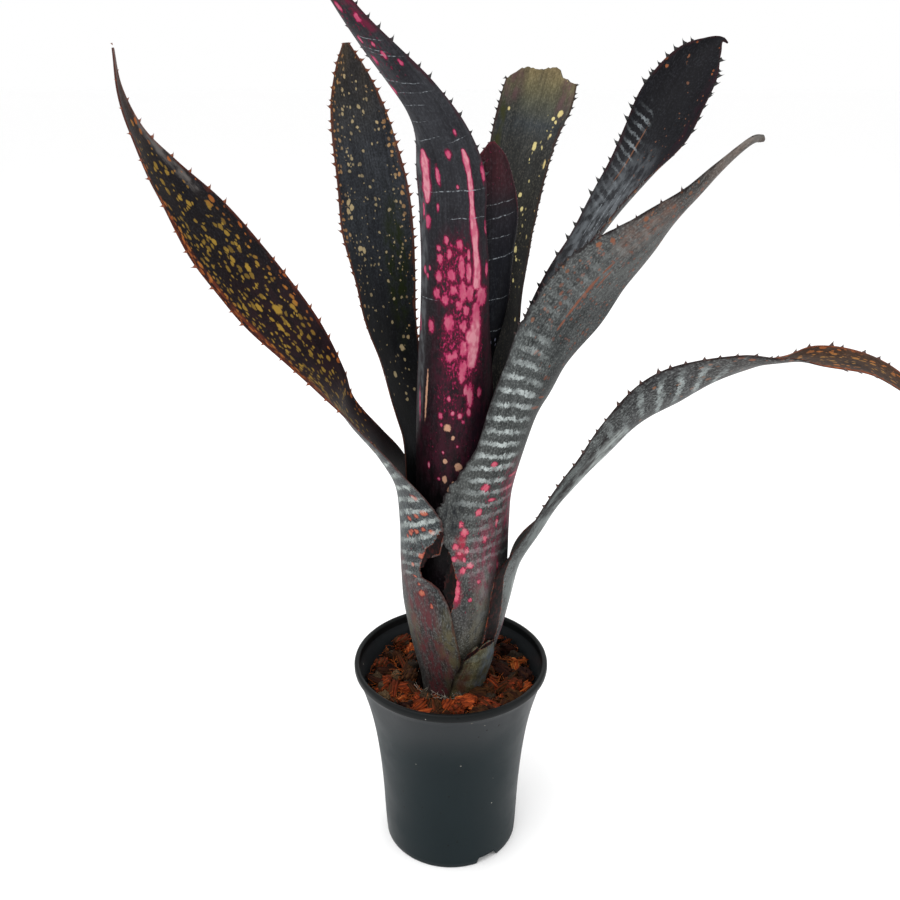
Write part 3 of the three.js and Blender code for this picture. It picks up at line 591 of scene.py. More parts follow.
                     (258, 0.3, 3, 1.9), (275.5, 8.3, 3.5, 0.9), (267.5, -16.5, 2.6, 1.0),
                     (264, -14.5, 2.0, 0.8), (269, -12.8, 1.5, 0.7), (292.5, -12.5, 3.6, 1.7),
                     (298, -15.5, 4, 0.8), (299.5, -6.5, 2.4, 0.8), (309.5, 3.9, 1.2, 0.8),
                     (314, 17.5, 4, 1.2), (288, 19.6, 4, 1.2), (267, 18.6, 4, 1.0), (333, 8.5, 1.5, 0.8),
                     (227, 5.7, 5, 2.0), (222, -1.5, 3, 2.0), (223.5, 1.3, 3, 1.7), (216, 5.7, 5, 2.4),
                     (211.5, 4.9, 4, 2.0), (200.5, 9.5, 8, 1.9), (204, 7, 4, 1.2), (202, 15, 3, 1.5),
                     (199, -1.8, 2, 1.2), (191, 0.2, 1.6, 1.3), (189.5, 4.2, 2.0, 1.5), (191.5, 9, 3, 1.3),
                     (184, -6, 1.2, 0.9), (186, 6, 1.2, 0.9), (172, 3, 1.1, 0.8), (168, -5, 1.1, 0.8),
                     (189, -6.4, 2.0, 1.4), (152, -7.5, 1.2, 1.0), (159, -14, 2.4, 0.9), (238, -12, 4, 2.0),
                     (240.5, -1.8, 5, 3.0), (239, 5.6, 3.2, 2.0), (250, 3.5, 3, 1.9), (247, 7, 3, 1.7),
                     (238, -21, 5, 0.8), (193, -21.5, 10, 0.8), (233, 9, 5, 2.6), (380, -5, 2.5, 1.1),
                     (364, -8, 3, 1.1), (399, 3, 3, 1.1), (379, 2, 2.5, 0.9), (391, -4, 2, 0.9),
                     (408, -1, 3, 1.0), (372, 6, 2, 0.8), (420, 0, 3, 1.0), (432, -1, 3, 0.8),
                     (386, 1, 1.6, 0.7)],
            "pink_cloud": [(266, 2, 20, 12, 0.8), (228, 5, 24, 13, 0.85), (200, 2, 16, 14, 0.6),
                           (400, -2, 44, 12, 0.5), (172, 0, 25, 18, 0.35)],
            "pink_colours": ("#60102e", "#a52c57", "#c2808c"),
            "pale": [(316, -11.5, 16, 5), [(324, 9.8, 3), (300, 10.8, 3.5), (285, 12, 4), (262, 13, 5)],
                     [(236, 12, 5), (222, 11, 5)], (158, -2, 20, 16), (196, 4, 12, 6, 0.5)],
            "amber": [(182.5, -2.5, 2.2, 1.8), (177, 0.5, 1.3, 1.0), (163, -3.8, 1.4, 1.2),
                      (160, 3.6, 2.3, 1.9), (152, -4, 2.2, 1.3), (146, -1, 1.8, 1.5), (150, 0.8, 1.3, 0.9),
                      (199, -15.5, 14, 0.7, -5)],
            "amber_colours": ("#b08264", "#bb8f76"),
            "lines": [(307.5, 2, 0.3, 16), (294, 9, 0.25, 11), (335, -5, 0.22, 6, -8),
                      (366, -2, 0.26, 12, -38), (358, 1, 0.2, 9, -30), (353, -3, 0.2, 6, -25),
                      (379, 2, 0.24, 9, -42), (384, -1, 0.2, 7, -42), (389, 1, 0.2, 6, -42),
                      (330, 8, 0.22, 5), (252, -14, 0.22, 6), (345, -6, 0.2, 5, -20)],
        },
        dict(INNER_DARK),
    ),
    "leaf_inner": (
        {
            **BARE,
            "ground": [(0, "#181818"), (200, "#0e0f13"), (270, "#14151b"), (296, "#1b181d"),
                       (312, "#30141a"), (330, "#38151b")],
            "mottle": ("#0b0b10", 0.6),
            "margin": ("#4a1a22", 0.9),
            "scurf": 0.2,
            "lines": [(299, 3, 0.25, 10, 12), (292, 3, 0.3, 11, 14), (272, 6, 0.28, 12, 14),
                      (233, 8, 0.28, 12, 10), (250, 6, 0.22, 12, 10), (282, 4, 0.2, 8, 12)],
            "amber": [(226, 6, 1.2, 0.7), (228, 10, 1.0, 0.8), (225, 12, 0.8, 0.8)],
            "amber_colours": ("#8f93a8", "#8f93a8"),
            "pink_cloud": [(318, 4, 14, 16, 0.35)],
        },
        dict(INNER_DARK),
    ),
    "old_sheath": (
        {
            **BARE,
            "ground": [(0, "#3a3628"), (25, "#4e4a33"), (60, "#565340")],
            "mottle": ("#231f19", 0.7),
            "scurf": 0.6,
            "margin": ("#120c09", 1.0),
            "tints": [("#4a5158", [(32, 9, 32, 8)]), ("#4d2a22", [(30, -8, 14, 4, 0.6)]),
                      ("#120c0a", [[(5, -12, 1.2), (30, -15, 1.2), (50, -9, 1.2)]])],
            "scorch": [[(48, -15, 2.0), (57, -4, 1.6), (57, 8, 1.6)]],
            "powder": [(40, 0, 30, 20, 0.3)],
            "powder_colour": "#7a8484",
            "band": (11.0, 0.6, 6.0),
            "gloss": 0.65,
        },
        {**BARE, "ground": [(0, "#2e261c"), (55, "#382e22")], "gloss": 0.7},
    ),
}


def tidy_mesh(name, points, faces, smooth=True):
    """A new object from points in metres and faces of point numbers."""
    mesh = bpy.data.meshes.new(name)
    mesh.from_pydata([tuple(p) for p in points], [], faces)
    mesh.update()
    if smooth:
        mesh.shade_smooth()
    piece = bpy.data.objects.new(name, mesh)
    bpy.context.scene.collection.objects.link(piece)
    return piece


def settle(piece, slot, *nodes):
    """Hangs a finished piece on its body and hides the CAD nodes that it stands for; the slot is not used.
    """
    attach(piece, BODY)
    if nodes:
        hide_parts(*nodes)


def joined(main, *others):
    """Joins other objects into the first, keeping its name."""
    bpy.ops.object.select_all(action="DESELECT")
    for piece in (*others, main):
        piece.select_set(True)
    bpy.context.view_layer.objects.active = main
    bpy.ops.object.join()
    return main


def removed(piece):
    """Takes a helper object out of the file."""
    bpy.data.objects.remove(piece, do_unlink=True)


def plain_result(piece, name):
    """The evaluated shape of a piece with live modifiers as a new plain object; the piece goes."""
    graph = bpy.context.evaluated_depsgraph_get()
    mesh = bpy.data.meshes.new_from_object(piece.evaluated_get(graph), depsgraph=graph)
    mesh.name = name
    piece.modifiers.clear()
    removed(piece)
    made = bpy.data.objects.new(name, mesh)
    bpy.context.scene.collection.objects.link(made)
    return made


def add(tree, kind, *feeds, named=None, stops=(), **settings):
    """Adds a node with its settings. A feed is a value, or a node or socket to link, in socket order."""
    plain_kind, preset = NODE_KINDS.get(kind, (kind, {}))
    node = tree.nodes.new(plain_kind)
    for key, value in {**preset, **settings}.items():
        setattr(node, key, value)
    open_sockets = [socket for socket in node.inputs if socket.enabled]
    pairs = [*zip(open_sockets, feeds), *((node.inputs[key], feed) for key, feed in (named or {}).items())]
    for socket, feed in pairs:
        if isinstance(feed, bpy.types.Node):
            feed = next(out for out in feed.outputs if out.enabled)
        if isinstance(feed, bpy.types.NodeSocket):
            tree.links.new(feed, socket)
        elif feed is not None:
            socket.default_value = feed
    for i, (place, colour) in enumerate(stops):
        ramp = node.color_ramp.elements
        stop = ramp[i] if i < 2 else ramp.new(place)
        stop.position = place
        stop.color = opaque(colour)
    return node


def new_material(name, roughness=0.5, ior=1.45):
    """A material with an empty tree but for its shader and output."""
    material = bpy.data.materials.new(name)
    material.use_nodes = True
    tree = material.node_tree
    tree.nodes.clear()
    shader = add(tree, "ShaderNodeBsdfPrincipled", named={"Roughness": roughness, "IOR": ior})
    add(tree, "ShaderNodeOutputMaterial", shader)
    return material, tree, shader


def attribute(tree, name):
    """The socket that reads a number painted on the mesh."""
    return add(tree, "ShaderNodeAttribute", attribute_name=name).outputs["Fac"]


class LeafSkin:
    """Living leaf skin: a thin satin cuticle over dark flesh. The eye sees fine lengthwise veins, soft
    clouds of colour, spots where the dark pigment is missing and chalky scales lying in cross bands."""

    def __init__(self, name, finish, length, seed):
        self.material, self.tree, self.shader = new_material(name, finish["gloss"])
        self.shader.inputs["Specular IOR Level"].default_value = finish["shine"]
        self.finish, self.length, self.seed = finish, length, seed
        self.uv = self.add("ShaderNodeUVMap", uv_map=UV_NAME)
        self.along = self.add("split", self.uv).outputs["Y"]
        self.colour = None
        self.powder = None

    def add(self, kind, *feeds, **settings):
        return add(self.tree, kind, *feeds, **settings)

    def grain(self, wide, long, layer, detail=3.0):
        """Clouds of a size in mm across and along the leaf, another pattern for every layer."""
        placed = self.add("sized", self.uv, None, None, (1 / wide, 1 / long, 1))
        return self.add("noise", placed, self.seed + layer, 1.0, detail, 0.55, noise_dimensions="4D")

    def about(self, value, grain, amount):
        """A number pushed up and down by a grain, by up to about half the amount."""
        return self.add("sum", value, self.add("range", grain, 0.25, 0.75, -amount / 2, amount / 2))

    def lay(self, factor, colour):
        """Lays a colour over what is there."""
        self.colour = self.add("mix", factor, self.colour, colour)

    def ground(self):
        """The flesh's colour along the leaf, in places deepened by painted shade, clouded, veined and
        finely speckled.
        """
        part = self.add("range", self.along, 0.0, self.length, 0.0, 1.0)
        stops = [(min(place / self.length, 1.0), colour) for place, colour in self.finish["ground"]]
        self.colour = self.add("ramp", part, stops=stops)
        mottle, strength = self.finish["mottle"]
        self.lay(self.add("smooth", self.grain(10, 30, 1.3), 0.4, 0.68, 0.0, strength), opaque(mottle))
        self.vein = self.grain(0.8, 70, 2.1, 2.0)
        self.speck = self.grain(0.9, 1.3, 3.7, 4.0)
        scurf = self.finish["scurf"]
        dark = self.add("product", self.add("range", self.vein, 0.3, 0.7, 0.75, 1.25),
                        self.add("range", self.speck, 0.3, 0.7, 1 - scurf, 1 + scurf))
        patch = self.add("range", self.grain(3.2, 5.5, 4.9), 0.3, 0.7, 1 - 0.6 * scurf, 1 + 0.6 * scurf)
        self.colour = self.add("shade", 1.0, self.colour, self.add("product", dark, patch))
        salt, strength = self.finish["salt"]
        flecks = self.about(self.speck, self.grain(9, 16, 4.3), 0.12)
        self.lay(self.add("smooth", flecks, 0.5, 0.66, 0.0, strength), opaque(salt))

    def tints(self):
        """Broad washes of another colour, each where its marks are painted; the near black ones are painted
        shade.
        """
        for number, (tint, _) in enumerate(self.finish["tints"]):
            wash = self.add("smooth", self.grain(3.2, 8, 21.4 + number, 4.0), 0.38, 0.62, 0.1, 1.0)
            self.lay(self.add("product", attribute(self.tree, f"tint_{number}"), wash), opaque(tint))

    def away(self, ovals, place):
        """How far a place is from the nearest of some ovals, in the ovals' own half widths. A fifth number
        turns an oval by so many degrees."""
        nearest = None
        for along, across, long, wide, *turn in ovals:
            tilt = (0, 0, math.radians(turn[0] if turn else 0))
            own = self.add("sized", place, (across, along, 0), tilt, (wide, long, 1), vector_type="TEXTURE")
            here = self.add("reach", own)
            nearest = here if nearest is None else self.add("least", nearest, here)
        return nearest

    def amber(self):
        """Round and long spots where the dark pigment is missing: many by chance, some drawn."""
        at_margin, in_middle = self.finish["amber_colours"]
        inward = self.add("smooth", attribute(self.tree, "edge"), 1.5, 9.0)
        tint = self.add("mix", inward, opaque(at_margin), opaque(in_middle))
        wide, long = self.finish["amber_size"]
        for size, layer, share in ((1.0, 5.2, 1.0), (0.6, 6.6, 0.4)):
            bend = self.add("range", self.grain(3, 4, layer), 0.0, 1.0, -1.2, 1.2)
            warp = self.add("moved", self.uv, bend)
            scale = (1 / wide / size, 1 / long / size, 1)
            place = self.add("sized", warp, (self.seed, layer, 0), None, scale)
            cells = self.add("cells", place, 1.0, voronoi_dimensions="2D")
            draw = self.add("parts", cells.outputs["Color"])
            chance = self.add("product", attribute(self.tree, "amber_cloud"), share)
            present = self.add("above", chance, draw.outputs[1])
            short = self.add("product", cells.outputs["Distance"], -1.0)
            reach = self.add("sum", self.add("range", draw.outputs[0], 0.0, 1.0, 0.14, 0.42), short)
            inside = self.add("smooth", reach, -0.05, 0.12, 0.0, self.finish["amber_strength"])
            faint = self.add("range", draw.outputs[2], 0.0, 1.0, 0.4, 1.0)
            self.lay(self.add("product", self.add("product", present, inside), faint), tint)
        if "amber" in self.finish:
            spots = self.about(self.away(self.finish["amber"], self.uv), self.grain(1.4, 2.0, 7.1), 0.7)
            pale = self.add("mix", self.grain(1.5, 2.5, 7.9), tint, opaque(in_middle))
            self.lay(self.add("smooth", spots, 0.75, 1.2, 0.95, 0.0), pale)

    def pink(self):
        """Blotches of bare flesh: a dark red halo, then a strong and then a pale pink, all ragged."""
        halo, flesh, pale = self.finish["pink_colours"]
        speckle = self.add("sum", self.add("product", attribute(self.tree, "pink_cloud"), 0.4),
                           self.grain(1.2, 2.2, 9.4, 3.0))
        self.lay(self.add("smooth", speckle, 0.75, 0.86, 0.0, 0.85), opaque(halo))
        self.lay(self.add("smooth", speckle, 0.85, 0.95, 0.0, 0.85), opaque(flesh))
        if "pink" in self.finish:
            blots = self.add("range", attribute(self.tree, "pink"), 0.0, 3.0, 3.0, 0.0)
            pure = attribute(self.tree, "pale")
            ragged = self.add("range", self.grain(1.4, 2.4, 8.3, 4.0), 0.25, 0.75, -0.43, 0.43)
            ragged = self.add("product", ragged, self.add("range", pure, 0.0, 1.0, 1.0, 0.3))
            blots = self.about(self.add("sum", blots, ragged), self.grain(0.5, 6, 8.9), 0.12)
            self.lay(self.add("smooth", blots, 0.9, 1.4, 0.75, 0.0), opaque(halo))
            self.lay(self.add("smooth", blots, 0.75, 1.0, 0.95, 0.0), opaque(flesh))
            light = self.add("smooth", self.grain(2.5, 5, 10.2), 0.38, 0.58, 0.4, 1.0)
            light = self.add("product", light, self.add("range", pure, 0.0, 1.0, 0.35, 1.0))
            heart = self.add("smooth", blots, 0.5, 0.88, 1.0, 0.0)
            self.lay(self.add("product", heart, light), opaque(pale))

    def bands(self):
        """Chalky scales in cross bands, thick in the bands' middles and loose grains between them."""
        spacing, share, sway = self.finish["band"]
        across = self.add("split", self.uv).outputs["X"]
        level = self.add("sum", self.along, self.add("product", across, -self.finish["slant"]))
        bent = self.about(level, self.grain(15, 45, 11.5, 2.0), sway)
        bent = self.about(bent, self.grain(1.2, 12, 12.2, 2.0), spacing * 0.27)
        ridge = self.add("zigzag", self.add("product", bent, 2 / spacing), 1.0)
        ridge = self.about(ridge, self.grain(8, 12, 16.1, 2.0), 0.4)
        band = self.add("smooth", ridge, 0.8 - share, 1.4 - share)
        loose = self.about(band, self.grain(0.8, 0.9, 13.1, 3.0), 1.4)
        chalk = self.add("smooth", loose, 0.35, 1.05, 0.0, 0.85)
        worn = self.add("smooth", self.grain(6, 9, 14.8, 4.0), 0.36, 0.6, 0.15, 1.0)
        inward = self.add("smooth", attribute(self.tree, "edge"), 1.0, 8.0, 0.35, 1.0)
        there = self.add("product", attribute(self.tree, "powder"), inward)
        self.powder = self.add("product", self.add("product", there, chalk), worn)
        self.lay(self.powder, opaque(self.finish["powder_colour"]))

    def lines(self):
        """Hair thin rings, broken into dots: pale where scales lie in them, dark where the skin creases."""
        if "lines" in self.finish:
            bend = self.add("range", self.grain(7, 60, 15.3), 0.25, 0.75, -0.6, 0.6)
            bent = self.add("moved", self.uv, self.add("ShaderNodeCombineXYZ", 0.0, bend))
            thread = self.add("smooth", self.away(self.finish["lines"], bent), 0.75, 1.15, 1.0, 0.0)
            dots = self.add("smooth", self.grain(1.1, 1.5, 16.7, 2.0), 0.4, 0.62, 0.05, 0.8)
            self.lay(self.add("product", thread, dots), opaque(self.finish.get("line_colour", "#868c91")))

    def margin(self):
        """The leaf's edge, in patches of another colour, and torn places, dry and near black."""
        tint, strength = self.finish["margin"]
        rim = self.about(attribute(self.tree, "edge"), self.grain(2.5, 9, 17.9), 3.0)
        self.lay(self.add("smooth", rim, 0.2, 2.0, strength, 0.0), opaque(tint))
        burn = self.about(attribute(self.tree, "scorch"), self.grain(3, 4, 18.4), 0.6)
        singed = self.add("smooth", self.grain(1.1, 2.2, 20.3), 0.42, 0.56)
        self.lay(self.add("product", self.add("smooth", burn, 0.34, 0.5), singed), opaque("#843f24"))
        clotted = self.add("smooth", self.grain(1.8, 3, 19.2, 4.0), 0.45, 0.65)
        dry = self.add("mix", clotted, opaque("#050303"), opaque("#2a0c0b"))
        self.lay(self.add("smooth", burn, 0.42, 0.62), dry)

    def finished(self):
        """Lays all layers, and sets roughness and relief to match."""
        for layer in (self.ground, self.tints, self.amber, self.pink, self.bands, self.lines, self.margin):
            layer()
        gloss = self.finish["gloss"]
        fine = self.add("range", self.speck, 0.3, 0.7, gloss - 0.06, gloss + 0.08)
        dull = self.add("sum", fine, self.add("product", self.powder, 0.35))
        height = self.add("sum", self.vein, self.add("product", self.speck, 0.6))
        height = self.add("sum", height, self.add("product", self.powder, 0.7))
        relief = self.add("relief", 0.4, 0.25 * MM, 0.1, height)
        self.tree.links.new(self.colour.outputs[2], self.shader.inputs["Base Color"])
        self.tree.links.new(dull.outputs[0], self.shader.inputs["Roughness"])
        self.tree.links.new(relief.outputs[0], self.shader.inputs["Normal"])
        return self.material


def spine_horn(name, colour):
    """Hard dry horn of a leaf spine: satin, in its own colour from the root to past the middle, then near
    black at the point.
    """
    material, tree, shader = new_material(name, 0.4)
    tip = attribute(tree, "tip")
    shade = add(tree, "ramp", tip, stops=[(0.0, colour), (0.55, colour), (1.0, "#1a0d0a")])
    tree.links.new(shade.outputs[0], shader.inputs["Base Color"])
    return material


def blended(rows, place):
    """Catmull-Rom blend of a leaf's stations at each place, counted in stations."""
    count = len(rows)
    padded = np.vstack([2 * rows[0] - rows[1], rows, 2 * rows[-1] - rows[-2]])
    span = np.clip(np.floor(place).astype(int), 0, count - 2)
    part = (place - span)[:, None]
    a, b, c, d = (padded[span + k] for k in range(4))
    cubic = (3 * b - a - 3 * c + d) * part ** 3
    square = (2 * a - 5 * b + 4 * c - d) * part ** 2
    return 0.5 * (2 * b + (c - a) * part + square + cubic)


def unit(vectors):
    """Vectors of length one along the last axis."""
    return vectors / np.maximum(np.linalg.norm(vectors, axis=-1, keepdims=True), 1e-9)


def away_from(mark, along, across):
    """How far each place is from a mark, in the mark's own half widths, and the mark's strength."""
    if isinstance(mark, tuple):
        start, side, long, wide, *strength = mark
        return np.hypot((along - start) / long, (across - side) / wide), (strength or [1.0])[0]
    nearest = np.full_like(along, 99.0)
    for (a0, c0, w0), (a1, c1, w1) in zip(mark, mark[1:]):
        run, drift = a1 - a0, c1 - c0
        part = np.clip(((along - a0) * run + (across - c0) * drift) / (run * run + drift * drift), 0, 1)
        off = np.hypot(along - a0 - part * run, across - c0 - part * drift)
        nearest = np.minimum(nearest, off / (w0 + (w1 - w0) * part))
    return nearest, 1.0


def painted(marks, along, across):
    """How strongly each place lies in a list of patches and strokes. They are level inside and fade at
    their rim."""
    total = np.zeros_like(along)
    for mark in marks:
        away, strength = away_from(mark, along, across)
        total = np.maximum(total, np.clip((1.3 - away) / 0.6, 0, 1) * strength)
    return total


def nearness(ovals, along, across):
    """How near each place is to the closest of some ovals: 3 in its middle, 2 on its rim, 0 far out."""
    nearest = np.full_like(along, 3.0)
    for oval in ovals:
        nearest = np.minimum(nearest, away_from(oval, along, across)[0])
    return 3 - nearest


def leaf_lines(record, row_length, column_count):
    """The grid of a leaf's middle surface, (x, y, z, along, across, how far from the margin), with each
    point's place between the margins, the leaf's length and how that runs on with its stations."""
    rows = np.array(record["stations"], float)
    fine = np.linspace(0, len(rows) - 1, LINE_STEPS)
    line = blended(rows, fine)[:, :3]
    run = np.concatenate([[0], np.cumsum(np.linalg.norm(np.diff(line, axis=0), axis=1))])
    length = run[-1]
    along = np.linspace(0, length, int(round(length / row_length)) + 1)
    place = np.interp(along, run, fine)
    values = blended(rows, place)
    step = unit(blended(rows, place + 0.01)[:, :3] - blended(rows, place - 0.01)[:, :3])
    face, rise = np.radians(values[:, 3]), np.radians(values[:, 4])
    up = np.stack([np.cos(rise) * np.cos(face), np.cos(rise) * np.sin(face), np.sin(rise)], 1)
    side = unit(np.cross(up, step))
    half = np.maximum(values[:, 5], 0.3)
    curl = np.radians(np.maximum(values[:, 6], 1))

    inset = [
        reading(record[key], along) if record[key] else np.zeros_like(along)
        for key in ("low", "high")
    ]
    ragged = np.array([noise.fractal(Vector((a / 3.1, 7.3, 1.9)), 0.6, 2.1, 5) for a in along])
    low, high = (-1 + inset[0] * (1 + 0.3 * ragged) / half, 1 - inset[1] * (1 + 0.3 * ragged) / half)
    near = np.outer(np.minimum(half / 8, 1), EDGE_ROWS)
    share = np.linspace(0, 1, column_count + 2)[1:-1]
    from_low = low[:, None] + near / half[:, None]
    from_high = high[:, None] - near / half[:, None]
    middle = from_low[:, -1:] + (from_high[:, -1:] - from_low[:, -1:]) * share
    t = np.hstack([from_low, middle, from_high[:, ::-1]])

    angle = curl[:, None] * t
    radius = (half / curl)[:, None, None]
    points = values[:, None, :3] + side[:, None] * radius * np.sin(angle)[..., None]
    points = points + up[:, None] * radius * (1 - np.cos(angle))[..., None]
    across = half[:, None] * t
    edge = np.minimum(across - (half * low)[:, None], (half * high)[:, None] - across)
    grid = np.dstack([points, np.broadcast_to(along[:, None], t.shape), across, edge])
    return grid, t, length, fine, run


def ragged_top(grid, cuts):
    """Pulls the last stretch of a leaf's columns back by the cuts, (across, mm), for a broken end."""
    along, across = grid[:, 0, 3], grid[-1, :, 4]
    stretch = 16
    start = along[-1] - stretch
    cut = reading(cuts, across)
    made = grid.copy()
    for j in range(grid.shape[1]):
        fine = noise.fractal(Vector((across[j] / 1.3, 3.3, 8.1)), 0.7, 2.2, 4)
        pulled = np.where(along > start, start + (along - start) * (1 - (cut[j] + fine) / stretch), along)
        for k in range(grid.shape[2]):
            made[:, j, k] = np.interp(pulled, along, grid[:, j, k])
    return made


def rippled(t, along, free_from, amount, seed):
    """How far the surface stands off its plain form: waved margins and shallow dents on the free blade."""
    dent_length, dent_depth = 26, 0.9
    free = np.clip((along - free_from) / 60, 0, 1)[:, None]
    taper = np.clip((along[-1] - along) / 50, 0, 1)[:, None]
    wave = np.sin(along / 8.5 + seed)[:, None] * np.clip(t, 0, 1) ** 3
    wave = wave + np.sin(along / 10.5 + 2 * seed + 1)[:, None] * np.clip(-t, 0, 1) ** 3
    dents = np.array([
        [noise.noise(Vector((a / dent_length, s * 1.3, seed))) for s in row] for a, row in zip(along, t)
    ])
    return (amount * wave + dent_depth * dents) * free * taper


def leaf_object(name, record, settings, number):
    """One leaf as a closed body: two faces that meet in a thin margin, with its markings painted on."""
    size = record["mesh_size"]
    columns = round(settings.columns / size)
    grid, t, length, fine, run = leaf_lines(record, settings.row_length / MM * size, columns)
    if record["top"]:
        grid = ragged_top(grid, record["top"])
    points, along, across, edge = grid[..., :3], grid[..., 3], grid[..., 4], grid[..., 5]
    ahead = unit(np.gradient(points, axis=0))
    aside = unit(np.gradient(points, axis=1))
    normal = unit(np.cross(ahead, aside))
    first = record["spines_from"]
    free_from = np.interp(first, fine, run) if first else length
    if record["ripple"]:
        lift = rippled(t, along[:, 0], free_from - 20, record["ripple"], number * 1.7)
        points = points + normal * lift[..., None]
    half = settings.thickness / MM / 2
    thin = EDGE_ROWS[-1] * np.minimum(1, np.abs(grid[:, :1, 4]) / 8)
    bulge = half * np.sqrt(1 - (1 - np.clip(edge / np.maximum(thin, 1e-6), 0, 1)) ** 2)
    outer = points - normal * bulge[..., None]
    inner = points + normal * bulge[..., None]

    count, width = t.shape
    number_out = np.arange(count * width).reshape(count, width)
    number_in = number_out.copy()
    number_in[:, 1:-1] = count * width + np.arange(count * (width - 2)).reshape(count, width - 2)
    verts = np.vstack([outer.reshape(-1, 3), inner[:, 1:-1].reshape(-1, 3)]) * MM

    def quads(corner, turned):
        ring = [corner[:-1, :-1], corner[1:, :-1], corner[1:, 1:], corner[:-1, 1:]]
        return np.stack(ring[::-1] if turned else ring, -1).reshape(-1, 4)

    faces = [tuple(f) for f in np.vstack([quads(number_out, True), quads(number_in, False)]).tolist()]
    for row, flip in ((0, False), (count - 1, True)):
        o, i = number_out[row], number_in[row]
        for j in range(width - 1):
            loop = [i[j], i[j + 1], o[j + 1], o[j]]
            loop = list(dict.fromkeys(int(n) for n in (loop[::-1] if flip else loop)))
            faces.append(tuple(loop))
    piece = tidy_mesh("billbergia_" + name, verts, faces)
    mesh = piece.data
    side_count = (count - 1) * (width - 1)
    slots = np.zeros(len(mesh.polygons), np.int32)
    slots[side_count:2 * side_count] = 1
    mesh.polygons.foreach_set("material_index", slots)

    both = [np.concatenate([v.ravel(), v[:, 1:-1].ravel()]) for v in (along, across, edge)]
    is_inner = np.arange(len(verts)) >= count * width
    corner = np.zeros(len(mesh.loops), np.int32)
    mesh.loops.foreach_get("vertex_index", corner)
    uv = mesh.uv_layers.new(name=UV_NAME)
    uv.data.foreach_set("uv", np.stack([both[1][corner], both[0][corner]], 1).ravel().astype(np.float32))
    paint = {"edge": both[2]}
    for finish, here in zip(FINISHES[name], (~is_inner, is_inner)):
        marks = {key: finish.get(key, []) for key in PAINTED}
        marks.update({f"tint_{i}": places for i, (_, places) in enumerate(finish["tints"])})
        strengths = {key: painted(places, both[0], both[1]) for key, places in marks.items()}
        strengths["pink"] = nearness(finish.get("pink", []), both[0], both[1])
        for key, strength in strengths.items():
            paint[key] = np.where(here, strength, paint.get(key, 0.0))
    for key, value in paint.items():
        mesh.attributes.new(key, "FLOAT", "POINT").data.foreach_set("value", value.astype(np.float32))
    for face, finish in zip(("outer", "inner"), FINISHES[name]):
        skin = LeafSkin(f"{name}_{face}_cuticle", finish, length, number * 3.1 + (face == "inner"))
        mesh.materials.append(skin.finished())
    return piece, points, along[:, 0], free_from


def thorn_object(settings):
    """A hooked spine with a broad foot along the margin: X points out, Y along the leaf."""
    sides, levels, half_thick = 5, 4, 0.38 * MM
    points, faces, tips = [], [], []
    for level in range(levels):
        h = level / levels
        reach = settings.spine_length * (h * 1.2 - 0.2)
        foot = settings.spine_foot * (0.85 * (1 - h) ** 1.7 + 0.15 * (1 - h))
        thick = half_thick * (1 - h) ** 0.8
        bend = settings.spine_hook * settings.spine_length * h ** 1.8
        for k in range(sides):
            turn = 2 * math.pi * k / sides
            points.append((reach, bend + foot * math.cos(turn), thick * math.sin(turn)))
            tips.append(h)
    points.append((settings.spine_length, settings.spine_hook * settings.spine_length, 0))
    tips.append(1.0)
    for level in range(levels - 1):
        for k in range(sides):
            a, b = level * sides + k, level * sides + (k + 1) % sides
            faces.append((a, b, b + sides, a + sides))
    last = (levels - 1) * sides
    faces += [(last + k, last + (k + 1) % sides, len(points) - 1) for k in range(sides)]
    faces.append(tuple(range(sides))[::-1])
    thorn = tidy_mesh("thorn", points, faces)
    thorn.data.attributes.new("tip", "FLOAT", "POINT").data.foreach_set("value", tips)
    outwards(thorn)
    return thorn


def outwards(piece):
    """Turns every face of a closed mesh to point out."""
    shape = bmesh.new()
    shape.from_mesh(piece.data)
    bmesh.ops.recalc_face_normals(shape, faces=shape.faces)
    shape.to_mesh(piece.data)
    shape.free()


def new_group(name, sockets):
    """A geometry tree with a geometry input and output and named inputs."""
    tree = bpy.data.node_groups.new(name, "GeometryNodeTree")
    tree.interface.new_socket("Geometry", in_out="INPUT", socket_type="NodeSocketGeometry")
    for label, kind in sockets:
        tree.interface.new_socket(label, in_out="INPUT", socket_type="NodeSocket" + kind)
    tree.interface.new_socket("Geometry", in_out="OUTPUT", socket_type="NodeSocketGeometry")
    return tree, tree.nodes.new("NodeGroupInput")


def apply_group(piece, tree, **inputs):
    """Hangs a geometry tree on a piece and sets its inputs by their identifiers."""
    modifier = piece.modifiers.new(tree.name, "NODES")
    modifier.node_group = tree
    known = {item.name: item.identifier for item in tree.interface.items_tree if item.in_out == "INPUT"}
    for label, value in inputs.items():
        modifier[known[label.replace("_", " ").capitalize()]] = value
    return modifier


